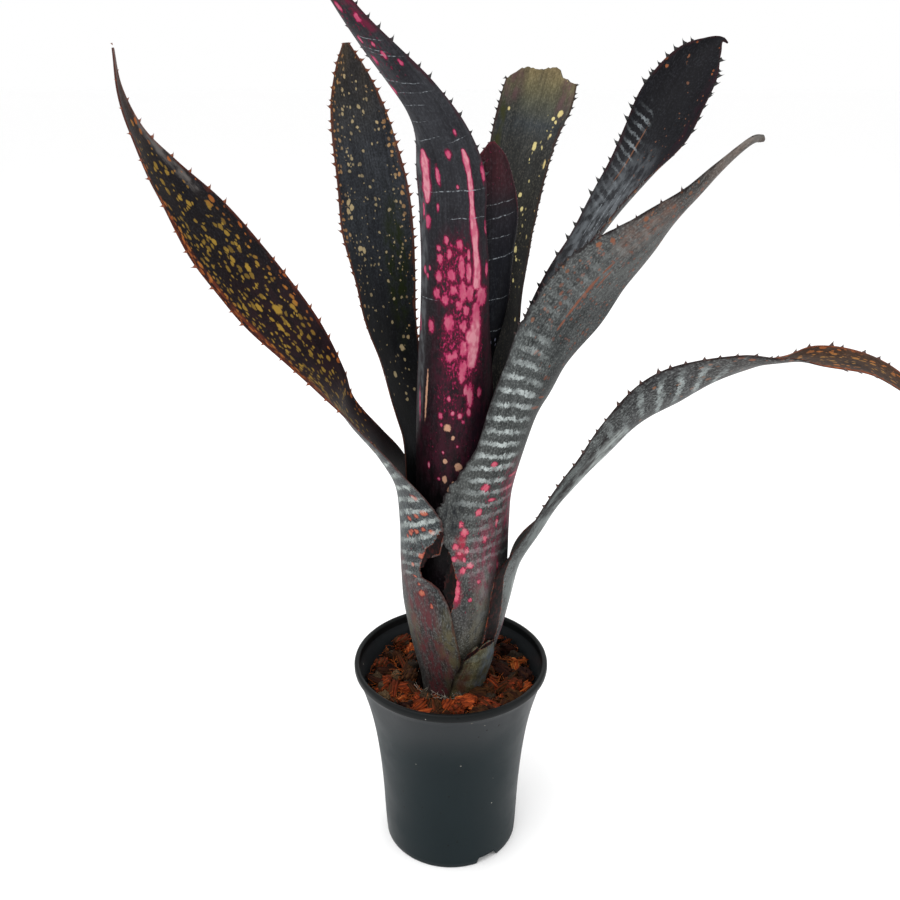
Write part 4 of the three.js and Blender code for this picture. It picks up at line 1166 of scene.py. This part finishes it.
def spine_tree():
    """Sets a thorn at every step of a margin line, leaning out from it, each a little off in place and
    size."""
    tree, given = new_group("margin_spines", [
        ("Stray", "Float"), ("Seed", "Int"), ("Thorn", "Object"), ("Horn", "Material"),
    ])
    step = add(tree, "GeometryNodeInputNamedAttribute", "step", data_type="FLOAT")
    ahead = add(tree, "GeometryNodeInputNamedAttribute", "ahead", data_type="FLOAT_VECTOR")
    outward = add(tree, "GeometryNodeInputNamedAttribute", "outward", data_type="FLOAT_VECTOR")
    grow = add(tree, "GeometryNodeInputNamedAttribute", "grow", data_type="FLOAT")
    curve = add(tree, "GeometryNodeMeshToCurve", given.outputs["Geometry"])
    stepped = add(tree, "GeometryNodeResampleCurve", curve, None, step, mode="LENGTH")
    stray = add(tree, "random", -0.5, 0.5, None, given.outputs["Seed"])
    shift = add(tree, "product", add(tree, "product", stray, given.outputs["Stray"]), step)
    offset = add(tree, "ShaderNodeVectorMath", ahead, operation="SCALE", named={"Scale": shift})
    moved = add(tree, "GeometryNodeSetPosition", stepped, None, None, offset)
    turn = add(tree, "FunctionNodeAxesToRotation", outward, ahead, primary_axis="X", secondary_axis="Y")
    vary = add(tree, "random", 0.7, 1.2, None, given.outputs["Seed"])
    scale = add(tree, "product", vary, grow)
    thorn = add(tree, "GeometryNodeObjectInfo", given.outputs["Thorn"])
    placed = add(tree, "GeometryNodeInstanceOnPoints", moved, None, thorn.outputs["Geometry"], None, None,
                 turn, scale)
    real = add(tree, "GeometryNodeRealizeInstances", placed)
    coated = add(tree, "GeometryNodeSetMaterial", real, None, given.outputs["Horn"])
    add(tree, "NodeGroupOutput", coated)
    return tree


def margin_object(points, along, free_from, record):
    """The margins of a leaf's free blade as lines, cut where the spines' spacing changes. Each point knows
    that spacing, the way a spine leans and how large it grows."""
    width = np.linalg.norm(points[:, -1] - points[:, 0], axis=1)
    size = np.minimum(1, 0.35 + 0.65 * width / 13) * record["spine_scale"]
    size = size * np.clip((along - free_from) / 30, 0.3, 1)
    ahead = unit(np.gradient(points, axis=0))
    ends = [place for place, _ in record["spacing"][1:]] + [along[-1] + 1]
    verts, edges, outward, heading, grow, steps = [], [], [], [], [], []
    for column, inward, lean in record["margins"]:
        out = unit(points[:, column] - points[:, inward])
        out = unit(out + lean * np.cross(unit(ahead[:, column]), out))
        for (start, step), end in zip(record["spacing"], ends):
            keep = np.flatnonzero((along >= max(start, free_from)) & (along < end))
            if step and len(keep) > 1:
                first = len(verts)
                verts += [tuple(p * MM) for p in points[keep, column]]
                edges += [(first + k, first + k + 1) for k in range(len(keep) - 1)]
                outward += out[keep].tolist()
                heading += ahead[keep, column].tolist()
                grow += size[keep].tolist()
                steps += [step * MM] * len(keep)
    mesh = bpy.data.meshes.new("margins")
    mesh.from_pydata(verts, edges, [])
    for key, values in (("outward", outward), ("ahead", heading)):
        mesh.attributes.new(key, "FLOAT_VECTOR", "POINT").data.foreach_set("vector", np.ravel(values))
    for key, values in (("grow", grow), ("step", steps)):
        mesh.attributes.new(key, "FLOAT", "POINT").data.foreach_set("value", values)
    piece = bpy.data.objects.new("margins", mesh)
    bpy.context.scene.collection.objects.link(piece)
    return piece


def turned_object(name, profile, sides):
    """A body turned about +Z from a profile of (radius, height) in metres, from the axis to the axis."""
    points, faces, rings = [], [], []
    for radius, height in profile:
        if radius < 1e-6:
            rings.append([len(points)])
            points.append((0, 0, height))
            continue
        rings.append([len(points) + k for k in range(sides)])
        for k in range(sides):
            turn = 2 * math.pi * k / sides
            points.append((radius * math.cos(turn), radius * math.sin(turn), height))
    for low, high in zip(rings, rings[1:]):
        for k in range(sides):
            n = (k + 1) % sides
            loop = [low[k % len(low)], low[n % len(low)], high[n % len(high)], high[k % len(high)]]
            loop = list(dict.fromkeys(loop))
            if len(loop) > 2:
                faces.append(tuple(loop))
    piece = tidy_mesh(name, points, faces)
    outwards(piece)
    return piece


def pot_plastic(plain):
    """Moulded polypropylene: charcoal, satin, with a faint orange peel, a lip painted near black as shade,
    pale scuffs and grains of the mix that stick to it."""
    material, tree, shader = new_material("moulded_polypropylene", 0.42, 1.49)
    shader.inputs["Specular IOR Level"].default_value = 0.12
    place = add(tree, "ShaderNodeTexCoord").outputs["Object"]
    cloud = add(tree, "noise", place, 1 / 0.03, 4.0, 0.6)
    worn = add(tree, "range", cloud, 0.3, 0.75, 0.0, 0.3)
    colour = add(tree, "mix", worn, opaque(plain), opaque("#1d282b"))
    height = add(tree, "split", place).outputs["Z"]
    # Painted light: the upper wall, which flares out and faces up, is painted lighter as if lit from above
    flare_light = add(tree, "smooth", height, 84 * MM, 124 * MM, 0.0, 0.8)
    colour = add(tree, "mix", flare_light, colour, opaque("#2d2f31"))
    # Painted shade: everything above the lip's foot, the rolled lip and the top of the inner wall, is
    # painted near black
    lip = add(tree, "range", height, 124.2 * MM, 124.8 * MM, 0.0, 0.85)
    colour = add(tree, "mix", lip, colour, opaque("#030505"))
    for size, most, rarity, dark, light in ((0.0055, 0.14, 0.5, "#020303", "#020303"),
                                            (0.0068, 0.1, 0.74, "#4d4b45", "#a3a098")):
        cells = add(tree, "cells", place, 1 / size)
        draw = add(tree, "parts", cells.outputs["Color"])
        reach = add(tree, "range", draw.outputs[1], 0.0, 1.0, 0.04, most)
        inside = add(tree, "above", reach, cells.outputs["Distance"])
        speck = add(tree, "product", inside, add(tree, "above", draw.outputs[0], rarity))
        grit = add(tree, "mix", draw.outputs[2], opaque(dark), opaque(light))
        colour = add(tree, "mix", speck, colour, grit)
    peel = add(tree, "noise", place, 1 / 0.0011, 3.0, 0.5)
    gloss = add(tree, "range", cloud, 0.3, 0.7, 0.36, 0.52)
    relief = add(tree, "relief", 0.12, 0.1 * MM, 0.1, peel)
    tree.links.new(colour.outputs[2], shader.inputs["Base Color"])
    tree.links.new(gloss.outputs[0], shader.inputs["Roughness"])
    tree.links.new(relief.outputs[0], shader.inputs["Normal"])
    return material


def husk_fibre(name, stops, size, lengthwise=False):
    """Coir husk: dry corky flesh, matt. A chip's tone picks its colour from the stops, and lengthwise
    fibres in its own coordinates streak it light and dark."""
    material, tree, shader = new_material(name, 0.9)
    shader.inputs["Specular IOR Level"].default_value = 0.15
    if lengthwise:
        own = add(tree, "ShaderNodeAttribute", attribute_name="chip_place").outputs["Vector"]
        place = add(tree, "sized", own, None, None, (1.2, 1 / size, 1 / size))
    else:
        own = add(tree, "ShaderNodeTexCoord").outputs["Object"]
        place = add(tree, "sized", own, None, None, (1 / size, 1 / size, 1 / size))
    fibre = add(tree, "noise", place, 1.0, 4.0, 0.65)
    pith = add(tree, "noise", place, 0.25, 3.0, 0.6)
    tone = add(tree, "product", attribute(tree, "tone"), 0.7)
    shade = add(tree, "sum", tone, add(tree, "range", pith, 0.3, 0.7, 0.0, 0.35))
    colour = add(tree, "ramp", shade, stops=stops)
    streaked = add(tree, "shade", 1.0, colour, add(tree, "range", fibre, 0.32, 0.68, 0.2, 1.9))
    relief = add(tree, "relief", 0.8, 0.5 * MM, 0.1, fibre)
    tree.links.new(streaked.outputs[2], shader.inputs["Base Color"])
    tree.links.new(relief.outputs[0], shader.inputs["Normal"])
    return material


def chip_shape(name, kind, number):
    """One husk chip, husk strip, pumice grain or crumb of unit length, torn or pitted by noise."""
    shape = bmesh.new()
    cuts, size = {
        "husk": (7, (1.0, 0.6, 0.4)), "lump": (7, (0.9, 0.72, 0.6)), "strip": (6, (1.0, 0.24, 0.12)),
        "pumice": (6, (1.0, 0.86, 0.78)),
        "crumb": (1, (1.0, 0.8, 0.7)),
    }[kind]
    bmesh.ops.create_cube(shape, size=1.0)
    bmesh.ops.subdivide_edges(shape, edges=shape.edges, cuts=cuts, use_grid_fill=True)
    far = Vector((number * 7.7, number * 3.1, 0))
    places = [vert.co.copy() for vert in shape.verts]
    for vert, p in zip(shape.verts, places):
        if kind in ("husk", "strip", "lump"):
            p = p.lerp(p.normalized() * 0.62, 0.6 if kind == "lump" else 0.2)
            torn = noise.fractal(Vector((p.x * 1.6, p.y * 7, p.z * 7)) + far, 0.6, 2.0, 4)
            ends = noise.fractal(Vector((0, p.y * 9, p.z * 9)) + far, 0.7, 2.0, 3)
            p += Vector((ends * 0.26 * (1 if p.x > 0 else -1), torn * 0.17, torn * 0.17))
            p += Vector((0, 0, 0.25 * noise.noise(Vector((p.x * 1.3, number, 0)))))
        else:
            p = p.normalized() * 0.5
            bump = noise.fractal(p * 3.0 + far, 0.8, 2.1, 5)
            pits = noise.cell(p * 9 + far)
            p *= 1 + 0.3 * bump - 0.06 * pits
        vert.co = Vector(p * s for p, s in zip(p, size))
    mesh = bpy.data.meshes.new(name)
    shape.to_mesh(mesh)
    shape.free()
    mesh.shade_smooth()
    own = mesh.attributes.new("chip_place", "FLOAT_VECTOR", "POINT")
    own.data.foreach_set("vector", np.ravel([p + far for p in places]))
    return bpy.data.objects.new(name, mesh)


def scatter_tree():
    """Drops chips on a bed so that none lies in another's middle, each turned, tilted and sized at
    random."""
    tree, given = new_group("bed_scatter", [
        ("Spacing", "Float"), ("Smallest", "Float"), ("Largest", "Float"), ("Tilt", "Float"),
        ("Lift", "Float"), ("Seed", "Int"), ("Chips", "Collection"), ("Husk", "Material"),
    ])
    seed = given.outputs["Seed"]
    points = add(tree, "GeometryNodeDistributePointsOnFaces", given.outputs["Geometry"], None,
                 given.outputs["Spacing"], 1e6, 1.0, seed, distribute_method="POISSON")
    up = add(tree, "random", 0.0, given.outputs["Lift"], None, seed)
    raised = add(tree, "GeometryNodeSetPosition", points.outputs["Points"], None, None,
                 add(tree, "ShaderNodeCombineXYZ", 0.0, 0.0, up))
    tilt = given.outputs["Tilt"]
    back = add(tree, "product", tilt, -1.0)
    tip = add(tree, "random", back, tilt, None, seed)
    roll = add(tree, "random", back, tilt, None, 7)
    turn = add(tree, "random", 0.0, 2 * math.pi, None, seed)
    scale = add(tree, "random", given.outputs["Smallest"], given.outputs["Largest"], None, seed)
    chips = add(tree, "GeometryNodeCollectionInfo", given.outputs["Chips"], True, True)
    placed = add(tree, "GeometryNodeInstanceOnPoints", raised, None, chips, True, None,
                 add(tree, "ShaderNodeCombineXYZ", tip, roll, turn), scale)
    tone = add(tree, "random", 0.0, 1.0, None, 11)
    toned = add(tree, "GeometryNodeStoreNamedAttribute", placed, None, "tone", tone, data_type="FLOAT",
                domain="INSTANCE")
    real = add(tree, "GeometryNodeRealizeInstances", toned)
    coated = add(tree, "GeometryNodeSetMaterial", real, None, given.outputs["Husk"])
    add(tree, "NodeGroupOutput", coated)
    return tree


def strand_tree():
    """Turns lines into thin round strands."""
    tree, given = new_group("strands", [("Thickness", "Float"), ("Coat", "Material")])
    curve = add(tree, "GeometryNodeMeshToCurve", given.outputs["Geometry"])
    half = add(tree, "product", given.outputs["Thickness"], 0.5)
    ring = add(tree, "GeometryNodeCurvePrimitiveCircle", 4, named={"Radius": half})
    tube = add(tree, "GeometryNodeCurveToMesh", curve, ring, named={"Fill Caps": True})
    real = add(tree, "GeometryNodeRealizeInstances", tube)
    coated = add(tree, "GeometryNodeSetMaterial", real, None, given.outputs["Coat"])
    add(tree, "NodeGroupOutput", coated)
    return tree


def line_object(name, lines):
    """Open lines of points in metres as one mesh of edges."""
    verts, edges = [], []
    for line in lines:
        start = len(verts)
        verts += [tuple(p) for p in line]
        edges += [(start + k, start + k + 1) for k in range(len(line) - 1)]
    mesh = bpy.data.meshes.new(name)
    mesh.from_pydata(verts, edges, [])
    piece = bpy.data.objects.new(name, mesh)
    bpy.context.scene.collection.objects.link(piece)
    return piece


class PotSettings(bpy.types.PropertyGroup):
    """Sizes and colour of the nursery pot."""

    wall: FloatProperty(name="Wall", description="Thickness of the wall", default=WALL_THICKNESS * MM,
                        unit="LENGTH")
    lip: FloatProperty(name="Lip", description="Height of the rolled lip", default=5.2 * MM, unit="LENGTH")
    notch: FloatProperty(name="Notch", description="Width of a drain notch", default=17 * MM, unit="LENGTH")
    sides: IntProperty(name="Sides", description="Facets round the pot", default=128, min=24)
    colour: FloatVectorProperty(name="Colour", description="Colour of the plastic", subtype="COLOR",
                                default=linear("#08161a"))


class MixSettings(bpy.types.PropertyGroup):
    """Sizes and colours of the potting mix."""

    top: FloatProperty(name="Top", description="Height of the bed", default=111 * MM, unit="LENGTH")
    chip: FloatProperty(name="Chip", description="Length of the largest chips", default=13 * MM,
                        unit="LENGTH")
    grain: FloatProperty(name="Grain", description="Size of the largest pumice", default=11 * MM,
                         unit="LENGTH")
    seed: IntProperty(name="Seed", description="Another seed lays the chips otherwise", default=9)


class LeafSettings(bpy.types.PropertyGroup):
    """Sizes that all leaves share."""

    thickness: FloatProperty(name="Thickness", description="Thickness of a leaf", default=0.9 * MM,
                             unit="LENGTH")
    row_length: FloatProperty(name="Row", description="Step along a leaf", default=1.4 * MM, unit="LENGTH")
    columns: IntProperty(name="Columns", description="Columns between the margins", default=30, min=6)
    spine_length: FloatProperty(name="Spine", description="Length of a spine", default=2.9 * MM,
                                unit="LENGTH")
    spine_foot: FloatProperty(name="Spine foot", description="Half its length along the margin",
                              default=1.6 * MM, unit="LENGTH")
    spine_hook: FloatProperty(name="Hook", description="How far it leans to the tip, in lengths",
                              default=0.55)


class StageSettings(bpy.types.PropertyGroup):
    """Light of the studio."""

    key: FloatProperty(name="Key", description="Strength of the main light in watts", default=14)
    fill: FloatProperty(name="Fill", description="Strength of the side lights in watts", default=3)
    sky: FloatProperty(name="Sky", description="Strength of the light from all round", default=1.0)


class BILLBERGIA_OT_stage(bpy.types.Operator):
    """Set up the camera, the pale floor and the soft light"""

    bl_idname = "billbergia.stage"
    bl_label = "Set the stage"

    def execute(self, context):
        scene = context.scene
        settings = scene.billbergia_stage
        # The place, turn and lens are solved from the pot's rim and foot in the photo's frame
        camera = bpy.data.cameras.new("photo_camera")
        camera.sensor_width = 36
        camera.lens = 38.6
        camera.clip_end = 100
        holder = bpy.data.objects.new("photo_camera", camera)
        holder.location = (-0.0005, -0.514, 0.475)
        holder.rotation_euler = (math.radians(90 - 21.8), 0, 0)
        scene.collection.objects.link(holder)
        scene.camera = holder
        scene.view_settings.view_transform = "Standard"

        reach = 20
        floor = tidy_mesh("pale_floor", [(-reach, -reach, 0), (reach, -reach, 0), (reach, reach, 0),
                                         (-reach, reach, 0)], [(0, 1, 2, 3)], smooth=False)
        floor.data.materials.append(matt_paint())

        world = bpy.data.worlds.new("soft_sky")
        scene.world = world
        world.use_nodes = True
        tree = world.node_tree
        tree.nodes.clear()
        glow = add(tree, "ShaderNodeBackground", (1, 1, 1, 1), settings.sky)
        add(tree, "ShaderNodeOutputWorld", glow)

        for name, watts, size, place in (
            ("key", settings.key, 1.3, (-0.5, -0.7, 1.7)),
            ("left", settings.fill, 0.9, (-1.3, -0.1, 0.8)),
            ("right", settings.fill, 0.9, (1.2, -0.5, 0.9)),
            ("back", settings.fill, 0.9, (0.3, 1.1, 1.3)),
        ):
            lamp = bpy.data.lights.new(name + "_softbox", "AREA")
            lamp.energy = watts
            lamp.size = size
            lamp_holder = bpy.data.objects.new(lamp.name, lamp)
            lamp_holder.location = place
            aim = Vector((0, 0, 0.25)) - Vector(place)
            lamp_holder.rotation_euler = aim.to_track_quat("-Z", "Y").to_euler()
            scene.collection.objects.link(lamp_holder)
        return {"FINISHED"}


def matt_paint():
    """White matt paint of a studio table, even all over but for the faintest cloud."""
    material, tree, shader = new_material("matt_white_paint", 0.8)
    place = add(tree, "ShaderNodeTexCoord").outputs["Object"]
    cloud = add(tree, "noise", place, 1 / 0.2, 2.0, 0.5)
    colour = add(tree, "mix", cloud, opaque("#fefefe"), opaque("#ffffff"))
    tree.links.new(colour.outputs[2], shader.inputs["Base Color"])
    return material


class BILLBERGIA_OT_pot(bpy.types.Operator):
    """Mould the nursery pot with its rolled lip and drain notches"""

    bl_idname = "billbergia.pot"
    bl_label = "Make the pot"

    def execute(self, context):
        settings = context.scene.billbergia_pot
        wall, lip = settings.wall, settings.lip
        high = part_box("pot")[1]
        top, rim = high.z, high.x
        foot = WALL_OUTLINE[0][1] * MM
        skirt = foot - 1.6 * MM
        heights = np.linspace(WALL_OUTLINE[0][0], (top - lip) / MM - 0.8, 40)
        radii = np.interp(heights, *zip(*WALL_OUTLINE))
        smooth = np.convolve(np.pad(radii, 3, mode="reflect", reflect_type="odd"), np.ones(7) / 7, "valid")
        outside = [(r * MM, z * MM) for z, r in zip(heights, smooth)]
        floor, ground = 7.5 * MM, 5.5 * MM
        inside = [(r - wall, z) for r, z in outside if z > floor + MM]
        profile = [(0, 0), (14 * MM, 0), (15 * MM, 2.5 * MM), (16 * MM, ground), (skirt - 1.5 * MM, ground)]
        profile += [(skirt, 4 * MM), (skirt, 0), (foot - 0.6 * MM, 0)]
        profile += outside
        roll = [(-1.5, -0.3), (-0.7, 0.1), (-0.2, 0.7), (0, 1.6)]
        profile += [(rim + r * MM, top - lip + z * MM) for r, z in roll]
        roll = [(0, -1.7), (-0.25, -0.8), (-0.8, -0.2), (-1.5, 0), (-2.3, -0.1), (-3.0, -0.6),
                (-3.3, -1.4)]
        profile += [(rim + r * MM, top + z * MM) for r, z in roll]
        profile += inside[::-1]
        side = inside[0][0]
        profile += [(side - 0.6 * MM, floor + 0.4 * MM), (side - 2.5 * MM, floor), (0, floor)]
        pot = turned_object("pot_shell", profile, settings.sides)
        for bearing in NOTCH_BEARINGS:
            cutter = notch_object(settings.notch, skirt, math.radians(bearing))
            cut = pot.modifiers.new("notch", "BOOLEAN")
            cut.object = cutter
            cut.solver = "EXACT"
            plain = bpy.data.meshes.new_from_object(
                pot.evaluated_get(bpy.context.evaluated_depsgraph_get()))
            pot.modifiers.clear()
            pot.data = plain
            removed(cutter)
        pot.data.set_sharp_from_angle(angle=math.radians(38))
        pot.data.materials.clear()
        pot.data.materials.append(pot_plastic(tuple(settings.colour)))
        settle(pot, "pot_plastic", "pot")
        return {"FINISHED"}


def notch_object(width, skirt, turn):
    """The wedge that a drain notch is cut with, at its bearing."""
    half, slope, height = width / 2, 2.6 * MM, 4.6 * MM
    outline = [(-half, -MM), (half, -MM), (half - slope, height), (slope - half, height)]
    near, far = skirt - 3 * MM, skirt + 4 * MM
    points = [(x, y, z) for x in (near, far) for y, z in outline]
    faces = [(0, 1, 2, 3), (7, 6, 5, 4), (0, 4, 5, 1), (1, 5, 6, 2), (2, 6, 7, 3), (3, 7, 4, 0)]
    cutter = tidy_mesh("notch", points, faces, smooth=False)
    cutter.data.transform(Matrix.Rotation(turn, 4, "Z"))
    outwards(cutter)
    return cutter


class BILLBERGIA_OT_bed(bpy.types.Operator):
    """Fill the pot with the body of the potting mix"""

    bl_idname = "billbergia.bed"
    bl_label = "Fill the pot"

    def execute(self, context):
        settings = context.scene.billbergia_mix
        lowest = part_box("potting_mix")[0].z
        hole, hole_floor = 17.2 * MM, 81 * MM
        wall = [(r - WALL_THICKNESS - MIX_GAP, z) for z, r in WALL_OUTLINE if 8 < z < settings.top / MM]
        profile = [(0, lowest), (wall[0][0] * MM - 3 * MM, lowest)]
        profile += [(r * MM, z * MM) for r, z in wall]
        edge = np.interp(settings.top / MM, *zip(*WALL_OUTLINE)) - WALL_THICKNESS - MIX_GAP
        profile += [(r * MM, settings.top) for r in np.linspace(edge, 21, 26)]
        profile += [(19.5 * MM, settings.top - 3 * MM), (hole, 100 * MM), (hole, hole_floor)]
        profile.append((0, hole_floor))
        bed = turned_object("mix_bed", profile, 160)
        for vert in bed.data.vertices:
            if vert.co.z > settings.top - 0.1 * MM:
                p = vert.co / MM
                bumps = 1.6 * noise.fractal(Vector((p.x / 5, p.y / 5, 2.2)), 0.8, 2.1, 5)
                vert.co.z += (bumps + bed_rise(p.y)) * MM
        dust = husk_fibre("damp_coir_dust", [(0.0, "#090504"), (0.4, "#24120a")], 1.6 * MM)
        bed.data.materials.append(dust)
        settle(bed, "coir_mix", "potting_mix")
        return {"FINISHED"}


def bed_rise(y):
    """How much higher the bed lies behind the plant than in front of it, in mm."""
    part = min(max((y - 5) / 40, 0), 1)
    return 5 * part * part * (3 - 2 * part)


class BILLBERGIA_OT_chips(bpy.types.Operator):
    """Scatter the husk chips, pumice grains and crumbs on the bed"""

    bl_idname = "billbergia.chips"
    bl_label = "Scatter the chips"

    def execute(self, context):
        settings = context.scene.billbergia_mix
        tree = scatter_tree()
        brown = [(0.0, "#0c0604"), (0.5, "#27130b"), (1.0, "#5a331a")]
        rind = [(0.0, "#0c0504"), (0.3, "#2a1009"), (0.5, "#3b2510"), (0.65, "#5c210f"), (0.85, "#93401a"),
                (1.0, "#b3733a")]
        stone = [(0.0, "#14100c"), (0.5, "#2b221a"), (1.0, "#55432e")]
        torn = ("lump", "husk", "lump", "strip", "lump", "husk")
        # Each kind's forms, then in mm the gap between two, the least and greatest size, the ring's radii
        # and the lift, then the tilt in radians and the coat. A husk's grain is counted in chip lengths
        kinds = (
            ("mix_crumbs", ("crumb",), 2.4, 1.4, 4.4, 24, 51, 1.2, 0.5, "coir_crumb", brown, 0.9 * MM),
            ("pumice_grains", ("pumice",), 11, 6.5, settings.grain / MM, 26, 47, 2.0, 2.6, "wet_pumice",
             stone, 0.9 * MM),
            ("husk_chips", torn, 6.6, 8.0, settings.chip / MM, 25, 48, 3.6, 0.6, "coir_husk", rind, 0.055),
        )
        for name, forms, gap, least, most, near, far, lift, tilt, coat, stops, size in kinds:
            stock = bpy.data.collections.new(name + "_stock")
            for i in range(6):
                stock.objects.link(chip_shape(f"{name}_{i}", forms[i % len(forms)], i + 1))
            base = settings.top + 0.8 * MM
            ring = ring_object([(near * MM, base), (far * MM, base)], 48)
            ring.name = name + "_ring"
            for vert in ring.data.vertices:
                vert.co.z += bed_rise(vert.co.y / MM) * MM
            apply_group(ring, tree, spacing=gap * MM, smallest=least * MM, largest=most * MM, tilt=tilt,
                        lift=lift * MM, seed=settings.seed, chips=stock,
                        husk=husk_fibre(coat, stops, size, "husk" in forms))
            made = plain_result(ring, name)
            for shape in list(stock.objects):
                removed(shape)
            bpy.data.collections.remove(stock)
            settle(made, "coir_mix", "potting_mix")
        return {"FINISHED"}


def ring_object(profile, sides):
    """A flat ring of faces between two (radius, height) pairs."""
    points = [
        (r * math.cos(2 * math.pi * k / sides), r * math.sin(2 * math.pi * k / sides), z)
        for r, z in profile for k in range(sides)
    ]
    faces = [(k, k + sides, (k + 1) % sides + sides, (k + 1) % sides) for k in range(sides)]
    return tidy_mesh("ring", points, faces)


class BILLBERGIA_OT_fibres(bpy.types.Operator):
    """Lay loose coir fibres and the fine roots at the foot of the plant"""

    bl_idname = "billbergia.fibres"
    bl_label = "Lay the fibres"

    def execute(self, context):
        settings = context.scene.billbergia_mix
        random = np.random.default_rng(settings.seed)
        tree = strand_tree()
        step, surface = 1.7, settings.top / MM + 3.5
        lines = []
        for _ in range(440):
            turn, radius = random.uniform(0, 2 * math.pi), random.uniform(24, 49)
            heading = random.uniform(0, 2 * math.pi)
            place = np.array([radius * math.cos(turn), radius * math.sin(turn), surface])
            line = []
            for _ in range(10):
                line.append((place + np.array([0, 0, bed_rise(place[1])])) * MM)
                heading += random.normal(0, 0.25)
                ahead = [math.cos(heading), math.sin(heading), random.normal(0, 0.3)]
                place = place + np.array(ahead) * step
                reach = math.hypot(place[0], place[1])
                place[:2] *= min(1, 52 / reach) * max(1, 22 / reach)
            lines.append(line)
        fibres = line_object("fibre_lines", lines)
        coat = husk_fibre("coir_fibre", [(0.0, "#64290f"), (0.4, "#c4682e")], 0.6 * MM)
        apply_group(fibres, tree, thickness=0.24 * MM, coat=coat)
        settle(plain_result(fibres, "coir_fibres"), "coir_mix", "potting_mix")

        lines = []
        for _ in range(20):
            turn = math.radians(random.uniform(-130, -50))
            height, stand = random.uniform(114, 126), 2.5
            drift, fall = random.uniform(-0.06, 0.06), random.uniform(0.3, 1.0)
            spread, bend = random.uniform(-0.1, 0.6), random.uniform(-0.012, 0.012)
            line = []
            for _ in range(17):
                radius = reading(TUBE_RADIUS, height) + stand
                line.append(Vector((radius * math.cos(turn), radius * math.sin(turn), height)) * MM)
                turn += drift
                drift += bend
                stand += spread
                spread += 4 * bend
                height = max(height - fall, surface)
            lines.append(line)
        hairs = line_object("root_lines", lines)
        coat = husk_fibre("root_velvet", [(0.0, "#8a8174"), (0.4, "#c9c2b4")], 0.6 * MM)
        apply_group(hairs, tree, thickness=0.13 * MM, coat=coat)
        settle(plain_result(hairs, "root_hairs"), "coir_mix", "potting_mix")
        return {"FINISHED"}


class BILLBERGIA_OT_stem(bpy.types.Operator):
    """Give the buried stem its fibrous bark"""

    bl_idname = "billbergia.stem"
    bl_label = "Dress the stem"

    def execute(self, context):
        stem = frame["nodes"]["stem"]
        bark = husk_fibre("stem_bark", [(0.0, "#4a3d26"), (0.4, "#8a7a52")], 1.2 * MM)
        for slot in stem.material_slots:
            slot.material = bark
        return {"FINISHED"}


class BILLBERGIA_OT_leaves(bpy.types.Operator):
    """Grow the leaves with their markings and spines"""

    bl_idname = "billbergia.leaves"
    bl_label = "Grow the leaves"

    def execute(self, context):
        settings = context.scene.billbergia_leaf
        tree = spine_tree()
        thorn = thorn_object(settings)
        for number, (name, record) in enumerate(LEAVES.items()):
            piece, points, along, free_from = leaf_object(name, record, settings, number + 1)
            if record["spines_from"]:
                margins = margin_object(points, along, free_from, record)
                horn = spine_horn(name + "_spine_horn", record["horn"])
                apply_group(margins, tree, stray=0.5, seed=number, thorn=thorn, horn=horn)
                joined(piece, plain_result(margins, name + "_spines"))
            settle(piece, record["slot"], name)
        removed(thorn)
        return {"FINISHED"}


class BILLBERGIA_PT_panel(bpy.types.Panel):
    """Buttons and settings of the potted billbergia"""

    bl_idname = "BILLBERGIA_PT_panel"
    bl_label = "Potted billbergia"
    bl_space_type = "VIEW_3D"
    bl_region_type = "UI"
    bl_category = "Billbergia"

    def draw(self, context):
        for group, steps in STEPS:
            box = self.layout.box()
            settings = getattr(context.scene, "billbergia_" + group)
            for key in settings.bl_rna.properties.keys():
                if key not in ("rna_type", "name"):
                    box.prop(settings, key)
            for step in steps:
                box.operator("billbergia." + step)


STEPS = (
    ("stage", ("stage",)),
    ("pot", ("pot",)),
    ("mix", ("bed", "chips", "fibres")),
    ("leaf", ("stem", "leaves")),
)
GROUPS = {"stage": StageSettings, "pot": PotSettings, "mix": MixSettings, "leaf": LeafSettings}
CLASSES = (
    *GROUPS.values(), BILLBERGIA_OT_stage, BILLBERGIA_OT_pot, BILLBERGIA_OT_bed, BILLBERGIA_OT_chips,
    BILLBERGIA_OT_fibres, BILLBERGIA_OT_stem, BILLBERGIA_OT_leaves, BILLBERGIA_PT_panel,
)


def register():
    for kind in CLASSES:
        bpy.utils.register_class(kind)
    for key, group in GROUPS.items():
        setattr(bpy.types.Scene, "billbergia_" + key, PointerProperty(type=group))


def unregister():
    for key in GROUPS:
        delattr(bpy.types.Scene, "billbergia_" + key)
    for kind in reversed(CLASSES):
        bpy.utils.unregister_class(kind)


def main():
    """Makes the whole plant."""
    register()
    for _, steps in STEPS:
        for step in steps:
            getattr(bpy.ops.billbergia, step)()
    bpy.context.view_layer.update()


if __name__ == "__main__":
    main()
